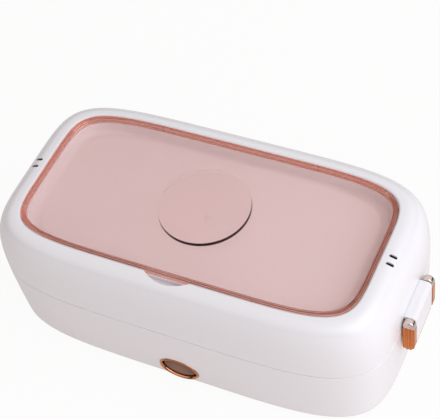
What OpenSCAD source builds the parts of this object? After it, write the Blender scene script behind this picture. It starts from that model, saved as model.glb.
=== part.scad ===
// Electric lunch box: a heated base, a stainless tray with a loose divider, and a lift-off domed lid
// that a latch at each end holds down. The lid carries a shallow storage well under a clear cover.
// X runs along the box, -Y is the front with the power button, +Z is up. The origin is on the
// ground at the middle of the footprint. Outlines are superellipses, so that a corner is never a
// plain arc, and the moulded shells are lofts through such outlines.

/* [Body] */
// Length of the body at the parting line
body_len = 236; // [232:2:248]
// Width of the body at the parting line
body_wid = 125.6; // [123.6:1:133.6]
// Squareness of the body outline (exponent of the superellipse)
body_square = 4.7; // [4.5:0.1:5.2]
// Height of the parting line above the ground
seam_z = 48.3; // [48:0.3:51]
// Height of the closed box
total_h = 85.6; // [84.6:0.5:92]
// Wall thickness of the two outer mouldings
wall = 2.4; // [2:0.2:2.8]
// Gap between base and lid along the parting line
seam_gap = 0.5; // [0.3:0.1:0.8]
// Clearance round pieces that lift out or slide
fit_gap = 0.3; // [0.3:0.05:0.4]
// Clearance round pieces that are pressed or screwed in place
seat_gap = 0.15; // [0.1:0.05:0.2]

/* [Base] */
// Lean of the base wall between the ground and the parting line
wall_draft = 1.5; // [1:0.25:2]
// Radius of the lower edge of the base
edge_r = 5.6; // [4.6:0.5:6.6]
// Thickness of the floor of the base round its opening
floor_t = 3.4; // [3.2:0.2:4]
// Width of the floor rim that carries the bottom cover
floor_rim = 6; // [5.5:0.5:7]
// Thickness of the bottom cover
cover_plate_t = 1.8; // [1.4:0.2:2]
// Thickness of the thin lip round the liner
lip_w = 1.8; // [1.4:0.2:2]
// Depth of the ledge that carries the liner below the parting line
ledge_drop = 3.2; // [3:0.2:4]
// Height of a rubber foot
foot_h = 1.2; // [1:0.2:2]
// Radius of a rubber foot
foot_r = 6; // [5:0.5:7]
// Distance of a foot's middle from the end of the body
foot_end = 34; // [30:1:40]
// Distance of a foot's middle from the side of the body
foot_side = 28.8; // [26.8:1:32.8]
// Distance of a bottom screw from the end of the body
screw_end = 25; // [24:0.5:26]
// Distance of a bottom screw from the side of the body
screw_side = 21.8; // [20.8:0.5:22.8]
// Radius of a screw's shank
screw_r = 1.3; // [1.1:0.1:1.5]
// Length of the ventilation slots in the bottom cover
slot_len = 24; // [18:1:28]

/* [Heating] */
// Height of the heating plate's top above the ground
plate_top = 13.4; // [13.4:0.2:14.4]
// Thickness of the heating plate
plate_t = 1.4; // [1.2:0.1:1.6]
// Length of the heater under the plate
heater_len = 118; // [100:2:120]
// Width of the heater
heater_wid = 36; // [28:1:44]
// Thickness of the heater
heater_t = 5.4; // [5:0.2:5.6]
// Thickness of the strip that presses the heater up
clamp_t = 0.8; // [0.6:0.1:0.9]
// Width of the strip
clamp_wid = 14; // [10:1:18]
// Distance of a stud's middle from the end of the heater
stud_gap = 6; // [5:0.5:8]
// Radius of a stud
stud_r = 1.5; // [1.3:0.1:1.7]
// Height of a clamp nut
nut_h = 2.2; // [1.8:0.1:2.3]

/* [Tray] */
// Room between the tray's flange and the end of the body
tray_end = 20; // [19.5:0.5:22]
// Room between the tray's flange and the side of the body
tray_side = 13.8; // [13.6:0.2:15.2]
// Depth of the tray from its flange to its underside
tray_depth = 32.4; // [31.8:0.2:32.6]
// Squareness of the tray's outline
tray_square = 5; // [4.8:0.1:5.2]
// Thickness of the tray's sheet
sheet_t = 0.8; // [0.6:0.1:0.9]
// Width of the flange outside the tray's wall
flange_w = 4; // [3.8:0.2:4.4]
// Radius of the rolled rim
roll_r = 1; // [0.9:0.1:1.2]
// Inward lean of the tray's wall over its depth
tray_draft = 5.5; // [5:0.5:6]
// Distance of each pair of ribs from the middle
rib_x = 19.5; // [17:0.5:24]
// Distance between the two ribs of a pair
rib_pitch = 5; // [4.8:0.2:6]
// Radius of a pressed rib
rib_r = 1.1; // [1:0.1:1.3]
// Thickness of the divider
divider_t = 0.8; // [0.6:0.1:1]

/* [Lid] */
// Width of the white shoulder between the cover and the end of the body
shoulder_end = 17.2; // [16.4:0.4:18]
// Width of the white shoulder between the cover and the side of the body
shoulder_side = 14.9; // [14.3:0.2:15.3]
// Squareness of the clear cover's outline
cover_square = 6; // [5.6:0.2:6.4]
// Fullness of the lid's shoulder (exponent of its profile)
shoulder_full = 2.73; // [2.5:0.1:3]
// Height of the cover's rim, which drops into the lid's window
rim_t = 4.6; // [4.2:0.2:5]
// Width of the cover's rim
rim_w = 1.8; // [1.6:0.1:2.2]
// Depth of the cover's plate below its rim
plate_drop = 0.4; // [0.2:0.1:0.6]
// Thickness of the cover's plate
clear_t = 2; // [1.8:0.1:2.2]
// Radius of the raised disc on the cover
disc_r = 26; // [20:1:30]
// Rise of the disc above the cover's plate
disc_rise = 2; // [1.4:0.2:2.2]
// Width of the ledge that carries the cover
ledge_w = 2.8; // [2.7:0.1:3.4]
// Height from the floor of the storage well to the top of the lid
store_drop = 10.6; // [10.4:0.2:12]
// Thickness of the storage well's floor
store_t = 2; // [1.8:0.1:2.4]
// Half length of the finger notch
notch_half = 14.4; // [12:0.2:16]
// Reach of the notch into the shoulder, seen from above
notch_reach = 5.4; // [5.2:0.1:5.8]
// Height of the notch
notch_h = 7.6; // [7.4:0.1:8]
// Length of a steam slot
steam_len = 4.4; // [3.6:0.2:4.6]
// Width of a steam slot
steam_wid = 1.9; // [1.4:0.1:2]
// Distance between the two steam slots of a pair
steam_pitch = 5.2; // [4.8:0.2:6]
// Distance of the steam slots from the end of the body
steam_end = 10.8; // [10.2:0.2:11.2]
// Thickness of the inner lid
liner_t = 1.8; // [1.6:0.1:2]
// Rise of the inner lid over the food
liner_rise = 12; // [10:0.5:14]
// Width of the silicone gasket
gasket_w = 3.6; // [3:0.2:3.8]

/* [Latches] */
// Height of the hinge pin above the ground
pin_z = 34.4; // [34:0.2:35]
// Distance of the hinge pin from the end wall
pin_out = 3.6; // [3.6:0.1:4]
// Radius of the hinge pin
pin_r = 1.2; // [1.1:0.05:1.25]
// Running clearance round the pin
run_gap = 0.05; // [0.03:0.01:0.08]
// Height of the latch above its pin
latch_rise = 22.4; // [21.6:0.2:23]
// Half width of a latch over its cheeks
latch_half = 17; // [16.6:0.2:18]
// Thickness of a cheek
cheek_t = 4; // [3.6:0.2:4.2]
// Distance of the latch's outer face from the end wall
latch_out = 7.4; // [7.2:0.1:7.8]
// Outer radius of a lug of the base
lug_r = 2.2; // [2.1:0.05:2.25]
// Distance of a lug from the middle of the latch
lug_y = 10; // [9.8:0.1:10.2]
// Width of a lug
lug_w = 3.6; // [3.2:0.2:4]
// Reach of the ledge on the lid that the latch snaps over
catch_reach = 0.5; // [0.4:0.1:0.8]
// Height of the ledge
catch_h = 1.6; // [1.2:0.1:1.8]

/* [Button and inlet] */
// Place of the button's middle along the front
button_x = 1.8; // [-2:0.2:4]
// Height of the button's middle above the ground
button_z = 14; // [13.8:0.1:14.6]
// Half width of the button's ring
ring_a = 12.2; // [11.6:0.1:12.6]
// Half height of the button's ring
ring_b = 8.8; // [8.4:0.1:8.9]
// Width of the ring
ring_w = 1.7; // [1.6:0.1:2.2]
// Depth of the ring through the wall
ring_depth = 6; // [5:0.25:6.5]
// Depth of the button's face behind the ring's face
button_recess = 0.9; // [0.8:0.1:1.6]
// Travel of the button
button_travel = 0.6; // [0.4:0.1:0.7]
// Width of the inlet socket's body
inlet_w = 26; // [24:1:28]
// Height of the inlet socket's body
inlet_h = 15; // [14:0.5:16]
// Depth of the inlet socket's body
inlet_d = 14; // [13:0.25:14.5]
// Height of the inlet's middle above the ground
inlet_z = 15; // [14.6:0.1:16]
// Distance between the inlet's two pins
inlet_pitch = 8.6; // [8.4:0.1:8.8]
// Radius of a pin of the inlet
inlet_pin_r = 1.2; // [1.1:0.05:1.25]

/* [Hidden] */
$fn = 48;
SIDES = 64;              // points round a moulded outline
EDGE_STEPS = 4;          // rings round the base's lower edge
SHOULDER_STEPS = 9;      // rings up the lid's shoulder
OVAL_SIDES = 40;         // points round the oval button
LEAD_SIDES = 8;          // points round a lead
EPS = 0.02;              // overreach of a cutting body

half_len = body_len / 2;
half_wid = body_wid / 2;
base_z0 = foot_h;
floor_open = wall_draft + edge_r + floor_rim + 2.4;    // inset of the opening in the base's floor
floor_seat = floor_open - floor_rim;                   // inset of the rebate for the bottom cover
ledge_z = seam_z - ledge_drop;
rim_z = seam_z - 0.5;                                  // top of the liner's rim
plate_z = plate_top - plate_t;
tray_z0 = plate_top + fit_gap;
tray_top = tray_z0 + tray_depth;
tray_seat = tray_top - 2 * roll_r - fit_gap;           // ledge of the liner under the tray's flange
flange_a = half_len - tray_end;                        // outside of the tray's flange
flange_b = half_wid - tray_side;
tray_a = flange_a - flange_w;                          // outside of the tray's wall at its top
tray_b = flange_b - flange_w;
well_gap = 1.6;                                        // room between tray and well
well_square = tray_square - 0.4;
liner_edge = 1.8;                                      // thickness of the liner at the well
sleeve_t = 1.2;                                        // wall of the well
well_a = tray_a + well_gap;
well_b = tray_b + well_gap;
lid_z0 = seam_z + seam_gap;
lid_top = total_h - 0.3;                               // the white edge, just under the cover's rim
cover_a = half_len - shoulder_end;
cover_b = half_wid - shoulder_side;
window_a = cover_a + 0.4;
window_b = cover_b + 0.4;
brow = 0.8;                                            // rounding of the window's edge
ledge_top = total_h - rim_t - fit_gap;
store_a = window_a - ledge_w;
store_b = window_b - ledge_w;
store_z = total_h - store_drop;
store_draft = 0.8;
store_wall = 1.4;                                      // wall of the storage well
sill_w = 1.2;                                          // sill in the window that carries the well
sill_t = 1.6;
sill_z = ledge_top - 1.5;                              // top of the sill
pocket_t = 1.5;                                        // wall of the pocket behind the notch
pocket_floor = 1.8;
notch_z = total_h - notch_h;                           // floor of the notch
snap_x = 0.476 * cover_a;                              // places of the snaps on the cover's rim
snap_y = 0.365 * cover_b;
snap_w = 0.6;
gasket_z = tray_top + fit_gap;
gasket_h = 3.4;
flange_z = gasket_z + gasket_h;                        // underside of the inner lid's flange
lid_in_a = tray_a - 0.6;                               // inside of the inner lid over the food
lid_in_b = tray_b - 0.6;
pin_x = half_len + pin_out;
latch_z1 = pin_z + latch_rise;
flap_half = latch_half - cheek_t - 0.3;
bore_r = pin_r + run_gap;
catch_z = lid_z0 + 2.4;
front_y = -(half_wid - 0.2);                           // face of the button's ring
rear_y = half_wid - 0.5;                               // face of the inlet
ring_in_a = ring_a - ring_w;
ring_in_b = ring_b - ring_w;
button_y = front_y + button_recess;
button_back = front_y + ring_depth - 0.6;
stem_y = button_back + 1;                              // back end of the button's stem
board_t = 1.6;
switch_d = 3.4;
plunger_d = 0.5;
plunger_y = stem_y + button_travel + 0.2;
board_y = plunger_y + plunger_d + switch_d;            // front face of the switch board
board_a = ring_a + 2.8;
board_b = 7.6;
led_x = button_x - 5;
led_z = button_z - 4.6;
led_r = 1.5;
boss_r = 3.4;
boss_h = 8;
screw_x = half_len - screw_end;
screw_y = half_wid - screw_side;
foot_x = half_len - foot_end;
foot_y = half_wid - foot_side;
steam_x = half_len - steam_end;
steam_top = shoulder_ring(77, false)[0][2];            // lid's face at the steam slots
valve_sunk = 1.4;
valve_t = 1.8;
stud_x = heater_len / 2 + stud_gap;
stat_r = 6.5;                                          // radius of the thermostat
stat_x = stud_x + stat_r + 7.5;
heater_z = plate_z - heater_t;
clamp_z = heater_z - clamp_t;
nut_z = clamp_z - nut_h;

// ---------- outlines and lofts ----------

// One point coordinate of a superellipse: a signed power of a sine or cosine
function sp(v, n) = sign(v) * pow(abs(v), 2 / n);

// Outline with half sizes a and b and squareness n, at height z
function outline(a, b, n, z) =
    [for (i = [0:SIDES - 1]) let (t = 360 * i / SIDES) [a * sp(cos(t), n), b * sp(sin(t), n), z]];

// Outline of the body, drawn in by an inset
function body_ring(inset, z) = outline(half_len - inset, half_wid - inset, body_square, z);

// Triangles between two rings of a list, each ring of n points
function band(lo, hi, n = SIDES) = [for (i = [0:n - 1]) let (j = (i + 1) % n) each
    [[lo * n + i, hi * n + i, hi * n + j],
     [lo * n + i, hi * n + j, lo * n + j]]];

// Solid through a list of rings, closed by a flat face on the first ring and one on the last.
// The list may fold back over a rim, so a tub or a dome is one such solid.
module loft(rings) {
    last = len(rings) - 1;
    polyhedron(
        points = [for (r = rings) each r],
        faces = concat([[for (i = [0:SIDES - 1]) i]],
            [for (k = [0:last - 1]) each band(k, k + 1)],
            [[for (i = [SIDES - 1:-1:0]) last * SIDES + i]]));
}

// Ring-shaped solid: as loft, but the last ring joins the first
module loop(rings) {
    count = len(rings);
    polyhedron(points = [for (r = rings) each r],
        faces = [for (k = [0:count - 1]) each band(k, (k + 1) % count)]);
}

// Flat plate with a superellipse outline
module plate(a, b, n, z, t)
    translate([0, 0, z])
        linear_extrude(t) polygon([for (p = outline(a, b, n, 0)) [p[0], p[1]]]);

// Oval prism along Y, from y0 to y1, round the button's middle
module oval(a, b, y0, y1)
    translate([button_x, y1, button_z]) rotate([90, 0, 0]) linear_extrude(y1 - y0)
        polygon([for (i = [0:OVAL_SIDES - 1]) let (t = 360 * i / OVAL_SIDES) [a * cos(t), b * sin(t)]]);

// Cylinder along Y, from y0 to y1
module rod_y(x, z, r, y0, y1)
    translate([x, y1, z]) rotate([90, 0, 0]) cylinder(r = r, h = y1 - y0);

// Box between two corners
module box(low, high) translate(low) cube(high - low);

// Copies at the four corners of a rectangle
module at_corners(x, y) for (sx = [-1, 1], sy = [-1, 1]) translate([sx * x, sy * y, 0]) children();

// ---------- base ----------

// Inset of the base's wall at height z, above the rounded lower edge
function wall_inset(z) = wall_draft * pow((seam_z - z) / (seam_z - base_z0 - edge_r), 1.6);

module base_tub() {
    wall_z = [base_z0 + edge_r + 12, base_z0 + edge_r + 26];
    loop(concat(
        [for (k = [0:EDGE_STEPS]) let (t = 90 * k / EDGE_STEPS)
            body_ring(wall_draft + edge_r * (1 - sin(t)), base_z0 + edge_r * (1 - cos(t)))],
        [for (z = wall_z) body_ring(wall_inset(z), z)],
        [body_ring(0, seam_z), body_ring(lip_w, seam_z), body_ring(lip_w, ledge_z),
         body_ring(wall + 2, ledge_z), body_ring(wall + wall_inset(wall_z[1]), ledge_z - 5),
         body_ring(wall + wall_draft, base_z0 + edge_r),
         body_ring(wall + wall_draft + 2.4, base_z0 + floor_t),
         body_ring(floor_open, base_z0 + floor_t), body_ring(floor_open, base_z0 + cover_plate_t),
         body_ring(floor_seat, base_z0 + cover_plate_t), body_ring(floor_seat, base_z0)]));
}

// Lugs on the end walls that hold a latch's pin
module lugs() {
    for (side = [-1, 1], y = [-lug_y, lug_y])
        difference() {
            union() {
                rod_y(side * pin_x, pin_z, lug_r, y - lug_w / 2, y + lug_w / 2);
                translate([side * (half_len - 1 + pin_out / 2 + 0.2), y, pin_z + 0.4])
                    cube([pin_out + 1.6, lug_w, 2 * lug_r - 1.2], center = true);
            }
            rod_y(side * pin_x, pin_z, bore_r, y - lug_w, y + lug_w);
        }
}

module base_shell() {
    color("whitesmoke")
    difference() {
        union() {
            base_tub();
            lugs();
            at_corners(screw_x, screw_y)
                translate([0, 0, base_z0 + floor_t - 1]) cylinder(r = boss_r, h = boss_h);
            // ribs that carry the switch board's two ends
            for (sx = [-1, 1])
                box([button_x + sx * (board_a - 1.2) - 1, front_y + ring_depth - 3, button_z - 5],
                    [button_x + sx * (board_a - 1.2) + 1, board_y, button_z + 5]);
        }
        at_corners(screw_x, screw_y)
            translate([0, 0, base_z0]) cylinder(r = screw_r + 0.05, h = boss_h);
        oval(ring_a + seat_gap, ring_b + seat_gap, front_y - 2, front_y + ring_depth);
        box([-inlet_w / 2 - seat_gap, rear_y - inlet_d, inlet_z - inlet_h / 2 - seat_gap],
            [inlet_w / 2 + seat_gap, rear_y + 3, inlet_z + inlet_h / 2 + seat_gap]);
    }
}

module bottom_cover() {
    inset = floor_seat + seat_gap;
    color("gainsboro")
    difference() {
        plate(half_len - inset, half_wid - inset, body_square, base_z0, cover_plate_t);
        at_corners(screw_x, screw_y) {
            translate([0, 0, base_z0 - EPS]) cylinder(r = screw_r + seat_gap, h = cover_plate_t + 1);
            translate([0, 0, base_z0 - EPS]) cylinder(r = 2 * screw_r + seat_gap, h = 1.1 + EPS);
        }
        for (x = [-2:2], sy = [-1, 1])
            translate([x * 7, sy * 24, base_z0 - EPS]) {
                translate([-1, -slot_len / 4, 0]) cube([2, slot_len / 2, cover_plate_t + 1]);
                for (e = [-1, 1])
                    translate([0, e * slot_len / 4, 0]) cylinder(r = 1, h = cover_plate_t + 1);
            }
    }
}

module feet()
    color("dimgray")
    at_corners(foot_x, foot_y) {
        cylinder(r1 = foot_r - 0.6, r2 = foot_r, h = 0.5);
        translate([0, 0, 0.5]) cylinder(r = foot_r, h = foot_h - 0.5);
    }

module bottom_screws()
    color("silver")
    at_corners(screw_x, screw_y)
        difference() {
            union() {
                translate([0, 0, base_z0]) cylinder(r = 2 * screw_r, h = 1.1);
                translate([0, 0, base_z0 + 1]) cylinder(r = screw_r, h = boss_h - 2);
            }
            // cross recess
            for (a = [0, 90]) rotate([0, 0, a])
                translate([-1.3, -0.3, base_z0 - EPS]) cube([2.6, 0.6, 0.7]);
        }

// Inward lean of the well's wall at height z
function well_in(z) = tray_draft * (tray_seat - z) / (tray_seat - plate_top);

function well_ring(grow, z) = outline(well_a + grow, well_b + grow, well_square, z);

// Liner: rim on the ledge of the shell, and a slope down to the tray's seat
module base_liner() {
    rim_in = 6;
    seat_out = 1.2;                           // room between the tray's flange and the slope
    seat_a = flange_a + seat_out;
    seat_b = flange_b + seat_out;
    low = tray_seat - liner_edge;
    color("peachpuff")
    loop([
        body_ring(lip_w + seat_gap, ledge_z),
        body_ring(lip_w + seat_gap, rim_z - 0.4),
        body_ring(lip_w + seat_gap + 0.4, rim_z),
        body_ring(rim_in - 0.8, rim_z),
        body_ring(rim_in, rim_z - 0.4),
        outline(seat_a + 0.6, seat_b + 0.6, tray_square, tray_seat + 0.8),
        outline(seat_a, seat_b, tray_square, tray_seat),
        well_ring(0.8, tray_seat),
        well_ring(0, tray_seat - 0.8),
        well_ring(-well_in(low), low),
        well_ring(4.6, low),
        body_ring(rim_in + 0.8, ledge_z - 1.2),
        body_ring(wall + 2.2, ledge_z)]);
}

// Metal wall of the well, flanged under the liner and standing on the heating plate
module well_sleeve() {
    top = tray_seat - liner_edge - seat_gap;
    flange = 3.4;
    lean = -well_in(top);
    color("sienna")
    loop([
        well_ring(lean, top),
        well_ring(-tray_draft, plate_top),
        well_ring(sleeve_t - tray_draft, plate_top),
        well_ring(lean + sleeve_t, top - sleeve_t),
        well_ring(lean + flange, top - sleeve_t),
        well_ring(lean + flange, top)]);
}

// Plate under the well, with the two studs that hold the heater's clamp
module heating_plate() {
    color("sienna") {
        plate(well_a - tray_draft + sleeve_t, well_b - tray_draft + sleeve_t, well_square,
            plate_z, plate_t);
        for (s = [-1, 1])
            translate([s * stud_x, 0, nut_z + 0.3]) cylinder(r = stud_r, h = plate_z - nut_z);
    }
}

module ptc_heater() {
    cut = 3;                                  // cut-off corners of the heater's case
    a = heater_len / 2;
    b = heater_wid / 2;
    color("silver")
    translate([0, 0, heater_z])
        linear_extrude(heater_t)
            polygon([[a, b - cut], [a - cut, b], [cut - a, b], [-a, b - cut],
                     [-a, cut - b], [cut - a, -b], [a - cut, -b], [a, cut - b]]);
}

module heater_clamp()
    color("lightsteelblue")
    difference() {
        box([-stud_x - 5, -clamp_wid / 2, clamp_z], [stud_x + 5, clamp_wid / 2, heater_z]);
        for (s = [-1, 1])
            translate([s * stud_x, 0, clamp_z - 1]) cylinder(r = stud_r + seat_gap, h = 3);
    }

module clamp_nuts()
    color("gold")
    for (s = [-1, 1])
        translate([s * stud_x, 0, nut_z])
            difference() {
                cylinder(r = 2.1 * stud_r, h = nut_h, $fn = 6);
                translate([0, 0, -1]) cylinder(r = stud_r + 0.05, h = nut_h + 2);
            }

module thermostat() {
    tab = stat_r + 0.9;                       // middle of a contact tab, across
    color("saddlebrown") {
        translate([stat_x, 0, plate_z - 4.4]) cylinder(r = stat_r, h = 4.4);
        for (s = [-1, 1])
            box([stat_x - 1.5, s * tab - 1.6, plate_z - 3.2], [stat_x + 1.5, s * tab + 1.6, plate_z - 2.6]);
    }
}

module thermal_fuse()
    color("tan")
    rod_y(-stat_x, plate_z - 2.3, 2.1, -7, 7);

// Inlet body with a figure-eight socket, open to the rear
module inlet_socket() {
    socket_r = 4.4;
    socket_d = inlet_d - 2.5;
    color("dimgray")
    difference() {
        box([-inlet_w / 2, rear_y - inlet_d, inlet_z - inlet_h / 2],
            [inlet_w / 2, rear_y, inlet_z + inlet_h / 2]);
        for (s = [-1, 1])
            rod_y(s * inlet_pitch / 2, inlet_z, socket_r, rear_y - socket_d, rear_y + 1);
        box([-inlet_pitch / 2, rear_y - socket_d, inlet_z - socket_r + 0.8],
            [inlet_pitch / 2, rear_y + 1, inlet_z + socket_r - 0.8]);
        for (s = [-1, 1])
            rod_y(s * inlet_pitch / 2, inlet_z, inlet_pin_r, rear_y - inlet_d - 1, rear_y);
    }
}

module inlet_pins()
    color("gold")
    for (s = [-1, 1])
        rod_y(s * inlet_pitch / 2, inlet_z, inlet_pin_r, rear_y - inlet_d - 2, rear_y - 3);

function unit(v) = v / norm(v);

// Direction of a route at one of its points, halfway between its two legs there
function heading(route, i) = unit(
    (i > 0 ? unit(route[i] - route[i - 1]) : [0, 0, 0]) +
    (i < len(route) - 1 ? unit(route[i + 1] - route[i]) : [0, 0, 0]));

// Ring of points square to a route at one of its points
function lead_ring(route, i, r) =
    let (d = heading(route, i), side = unit(cross(d, [0, 0, 1])), up = cross(side, d))
    [for (k = [0:LEAD_SIDES - 1])
        let (t = 360 * k / LEAD_SIDES) route[i] + r * (cos(t) * side + sin(t) * up)];

// Round lead along a route, with mitred corners
module lead(route, r = 0.9) {
    last = len(route) - 1;
    polyhedron(
        points = [for (i = [0:last]) each lead_ring(route, i, r)],
        faces = concat([[for (k = [LEAD_SIDES - 1:-1:0]) k]],
            [for (i = [0:last - 1]) each band(i + 1, i, LEAD_SIDES)],
            [[for (k = [0:LEAD_SIDES - 1]) last * LEAD_SIDES + k]]));
}

// Leads laid in the space round the well
module wires() {
    low = base_z0 + floor_t + 2.2;
    y_back = rear_y - inlet_d - 2.9;
    y_side = heater_wid / 2 + 1.4;
    z_heat = heater_z + heater_t / 2;
    color("firebrick") {
        lead([[inlet_pitch / 2, y_back, inlet_z], [inlet_pitch / 2 + 2, y_back - 3, low + 3],
              [heater_len / 4, y_side + 4, low + 1], [heater_len / 4, y_side, z_heat]]);
        lead([[-inlet_pitch / 2, y_back, inlet_z], [-inlet_pitch / 2 - 2, y_back - 3, low + 3],
              [-heater_len / 4, y_side + 4, low + 1], [-heater_len / 4, y_side, z_heat]]);
    }
    color("black")
        lead([[button_x, board_y + board_t + 0.8, button_z - 5], [button_x, board_y + board_t + 3, low + 2],
              [button_x, -y_side - 3, low + 1], [button_x, -y_side, z_heat]]);
}

// ---------- button ----------

module button_ring()
    color("peru")
    difference() {
        oval(ring_a, ring_b, front_y, front_y + ring_depth);
        oval(ring_in_a, ring_in_b, front_y - 1, front_y + ring_depth + 1);
    }

module power_button()
    color("maroon") {
        oval(ring_in_a - fit_gap, ring_in_b - fit_gap, button_y, button_back);
        rod_y(button_x, button_z, 2, button_back - EPS, stem_y);
    }

module switch_board()
    color("seagreen")
    box([button_x - board_a, board_y, button_z - board_b],
        [button_x + board_a, board_y + board_t, button_z + board_b]);

module tact_switch()
    color("black") {
        box([button_x - 3, board_y - switch_d, button_z - 3], [button_x + 3, board_y, button_z + 3]);
        rod_y(button_x, button_z, 1.7, plunger_y, board_y - switch_d + EPS);
    }

module led()
    color("mistyrose") {
        rod_y(led_x, led_z, led_r, board_y - 2, board_y);
        translate([led_x, board_y - 2, led_z]) sphere(r = led_r);
    }

// ---------- tray ----------

// Half size of the tray's outer wall at height z, less than its top size by the wall's lean
function tray_in(z) = tray_draft * (tray_top - z) / tray_depth;

function tray_ring(inset, z) = outline(tray_a - inset, tray_b - inset, tray_square, z);

module tray_pan() {
    foot = 3;                                 // radius of the pan's lower edge
    panel = 9;                                // inset of the raised floor panel
    rise = 1;                                 // height of the raised floor panel
    roll_z = tray_top - roll_r;
    out = -flange_w + roll_r;                 // inset of the middle of the rolled rim
    loft(concat(
        [tray_ring(tray_draft + panel, tray_z0 + rise), tray_ring(tray_draft + panel - 1, tray_z0),
         tray_ring(tray_draft + foot, tray_z0), tray_ring(tray_draft + 0.9, tray_z0 + 0.9),
         tray_ring(tray_in(tray_z0 + foot), tray_z0 + foot),
         tray_ring(tray_in(tray_top - 2), tray_top - 2),
         tray_ring(-0.8, roll_z - 0.3)],
        [for (t = [-140:50:110]) tray_ring(out - roll_r * cos(t), roll_z + roll_r * sin(t))],
        [tray_ring(-0.4, tray_top - 0.25), tray_ring(sheet_t * 0.6, tray_top - 0.9),
         tray_ring(tray_in(tray_z0 + foot) + sheet_t, tray_z0 + foot),
         tray_ring(tray_draft + 1.5, tray_z0 + 1.5),
         tray_ring(tray_draft + foot + 0.4, tray_z0 + sheet_t),
         tray_ring(tray_draft + panel - 1.3, tray_z0 + sheet_t),
         tray_ring(tray_draft + panel - 0.3, tray_z0 + rise + sheet_t)]));
}

// Round bar that follows the lean of the long wall; side is +1 at the rear and -1 in front
module wall_bar(x, side, r, out) {
    z0 = tray_z0 + 9;
    z1 = tray_top - 7;
    lean = atan2(tray_in(z0) - tray_in(z1), z1 - z0);
    translate([x, side * (tray_b - tray_in(z0) - sheet_t + out), z0]) rotate([-side * lean, 0, 0]) {
        cylinder(r = r, h = (z1 - z0) / cos(lean), $fn = 24);
        for (z = [0, (z1 - z0) / cos(lean)]) translate([0, 0, z]) sphere(r = r, $fn = 24);
    }
}

module steel_tray()
    color("silver")
    union() {
        tray_pan();
        for (x = [-rib_x, rib_x], e = [-1, 1], side = [-1, 1])
            wall_bar(x + e * rib_pitch / 2, side, rib_r, 0.4);
    }

// Upright plate between two pairs of ribs, with a rolled top edge
module divider() {
    z0 = tray_z0 + 1 + sheet_t + fit_gap;
    z1 = tray_top - 5;
    gap = sheet_t + 0.5;
    half0 = tray_b - tray_in(z0) - gap;
    half1 = tray_b - tray_in(z1) - gap;
    corner = 4;
    color("lightgray") {
        translate([-rib_x + divider_t / 2, 0, 0]) rotate([90, 0, -90])
            linear_extrude(divider_t)
                polygon([[-half0 + corner, z0], [half0 - corner, z0], [half0, z0 + corner],
                         [half1, z1], [-half1, z1], [-half0, z0 + corner]]);
        rod_y(-rib_x, z1, 0.8, -half1 + 1, half1 - 1);
    }
}

// ---------- lid ----------

// Ring of the lid's outer shoulder: share runs from 0 at the parting line to 90 at the window
function shoulder_ring(t, inner) =
    let (skin = inner ? wall : 0,
         f = 1 - pow(cos(t), 2 / shoulder_full),
         up = pow(sin(t), 2 / shoulder_full),
         a0 = half_len - skin, b0 = half_wid - skin,
         a1 = window_a + brow, b1 = window_b + brow,
         n = body_square + (cover_square - body_square) * f)
    outline(a0 + (a1 - a0) * f, b0 + (b1 - b0) * f, n, lid_z0 + (lid_top - skin - lid_z0) * up);

module lid_dome()
    loop(concat(
        [outline(window_a - sill_w, window_b - sill_w, cover_square, sill_z),
         outline(window_a - sill_w, window_b - sill_w, cover_square, sill_z - sill_t),
         outline(window_a + 0.6, window_b + 0.6, cover_square, sill_z - sill_t)],
        [for (k = [6:-1:1]) shoulder_ring(70 * k / 6, true)],
        [body_ring(wall, lid_z0), body_ring(0.3, lid_z0)],
        [for (k = [1:SHOULDER_STEPS]) shoulder_ring(90 * k / SHOULDER_STEPS, false)],
        [outline(window_a, window_b, cover_square, lid_top - brow),
         outline(window_a, window_b, cover_square, sill_z)]));

// Part of a round column from z0 to z1. Its front is the notch's arc, whose chord lies on the
// window's front edge, and it reaches back past that edge by a depth.
module notch_arc(grow, z0, z1, back) {
    r = (pow(notch_half, 2) + pow(notch_reach, 2)) / (2 * notch_reach);
    intersection() {
        translate([0, -window_b - notch_reach + r, z0]) cylinder(r = r + grow, h = z1 - z0);
        box([-notch_half - grow, -window_b - notch_reach - grow, z0],
            [notch_half + grow, -window_b + back, z1]);
    }
}

// Four upright slots with round ends, each drawn in by a gap
module steam_slots(gap, z, h)
    for (side = [-1, 1], e = [-1, 1])
        translate([side * steam_x, e * steam_pitch / 2, z]) {
            translate([0, 0, h / 2]) cube([steam_len - steam_wid, steam_wid - 2 * gap, h], center = true);
            for (d = [-1, 1])
                translate([d * (steam_len - steam_wid) / 2, 0, 0])
                    cylinder(r = steam_wid / 2 - gap, h = h, $fn = 24);
        }

module lid_shell()
    color("white")
    difference() {
        union() {
            lid_dome();
            notch_arc(pocket_t, notch_z - pocket_floor, notch_z - 0.1, 0.8);      // pocket's floor
            notch_arc(pocket_t, notch_z - pocket_floor, lid_top - 3, -0.3);       // pocket's wall
            for (side = [-1, 1])
                translate([side * (half_len - 0.5 + catch_reach / 2), 0, catch_z + catch_h / 2])
                    cube([1 + catch_reach, 2 * (flap_half - 2), catch_h], center = true);
        }
        notch_arc(0, notch_z, total_h + 2, 0.4);
        steam_slots(0, total_h - 13, 14);
    }

// Rubber valves in the steam slots, sunk below the lid's face
module steam_valves()
    color("black")
    steam_slots(run_gap, steam_top - valve_sunk - valve_t, valve_t);

// Storage well: a shallow tub whose ledge lies on the sill of the window
module storage_well()
    color("white")
    loft([
        outline(store_a + store_wall - store_draft, store_b + store_wall - store_draft, cover_square,
            store_z - store_t),
        outline(store_a + store_wall, store_b + store_wall, cover_square, sill_z + seat_gap),
        outline(window_a - seat_gap, window_b - seat_gap, cover_square, sill_z + seat_gap),
        outline(window_a - seat_gap, window_b - seat_gap, cover_square, ledge_top),
        outline(store_a, store_b, cover_square, ledge_top),
        outline(store_a - store_draft, store_b - store_draft, cover_square, store_z)]);

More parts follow.
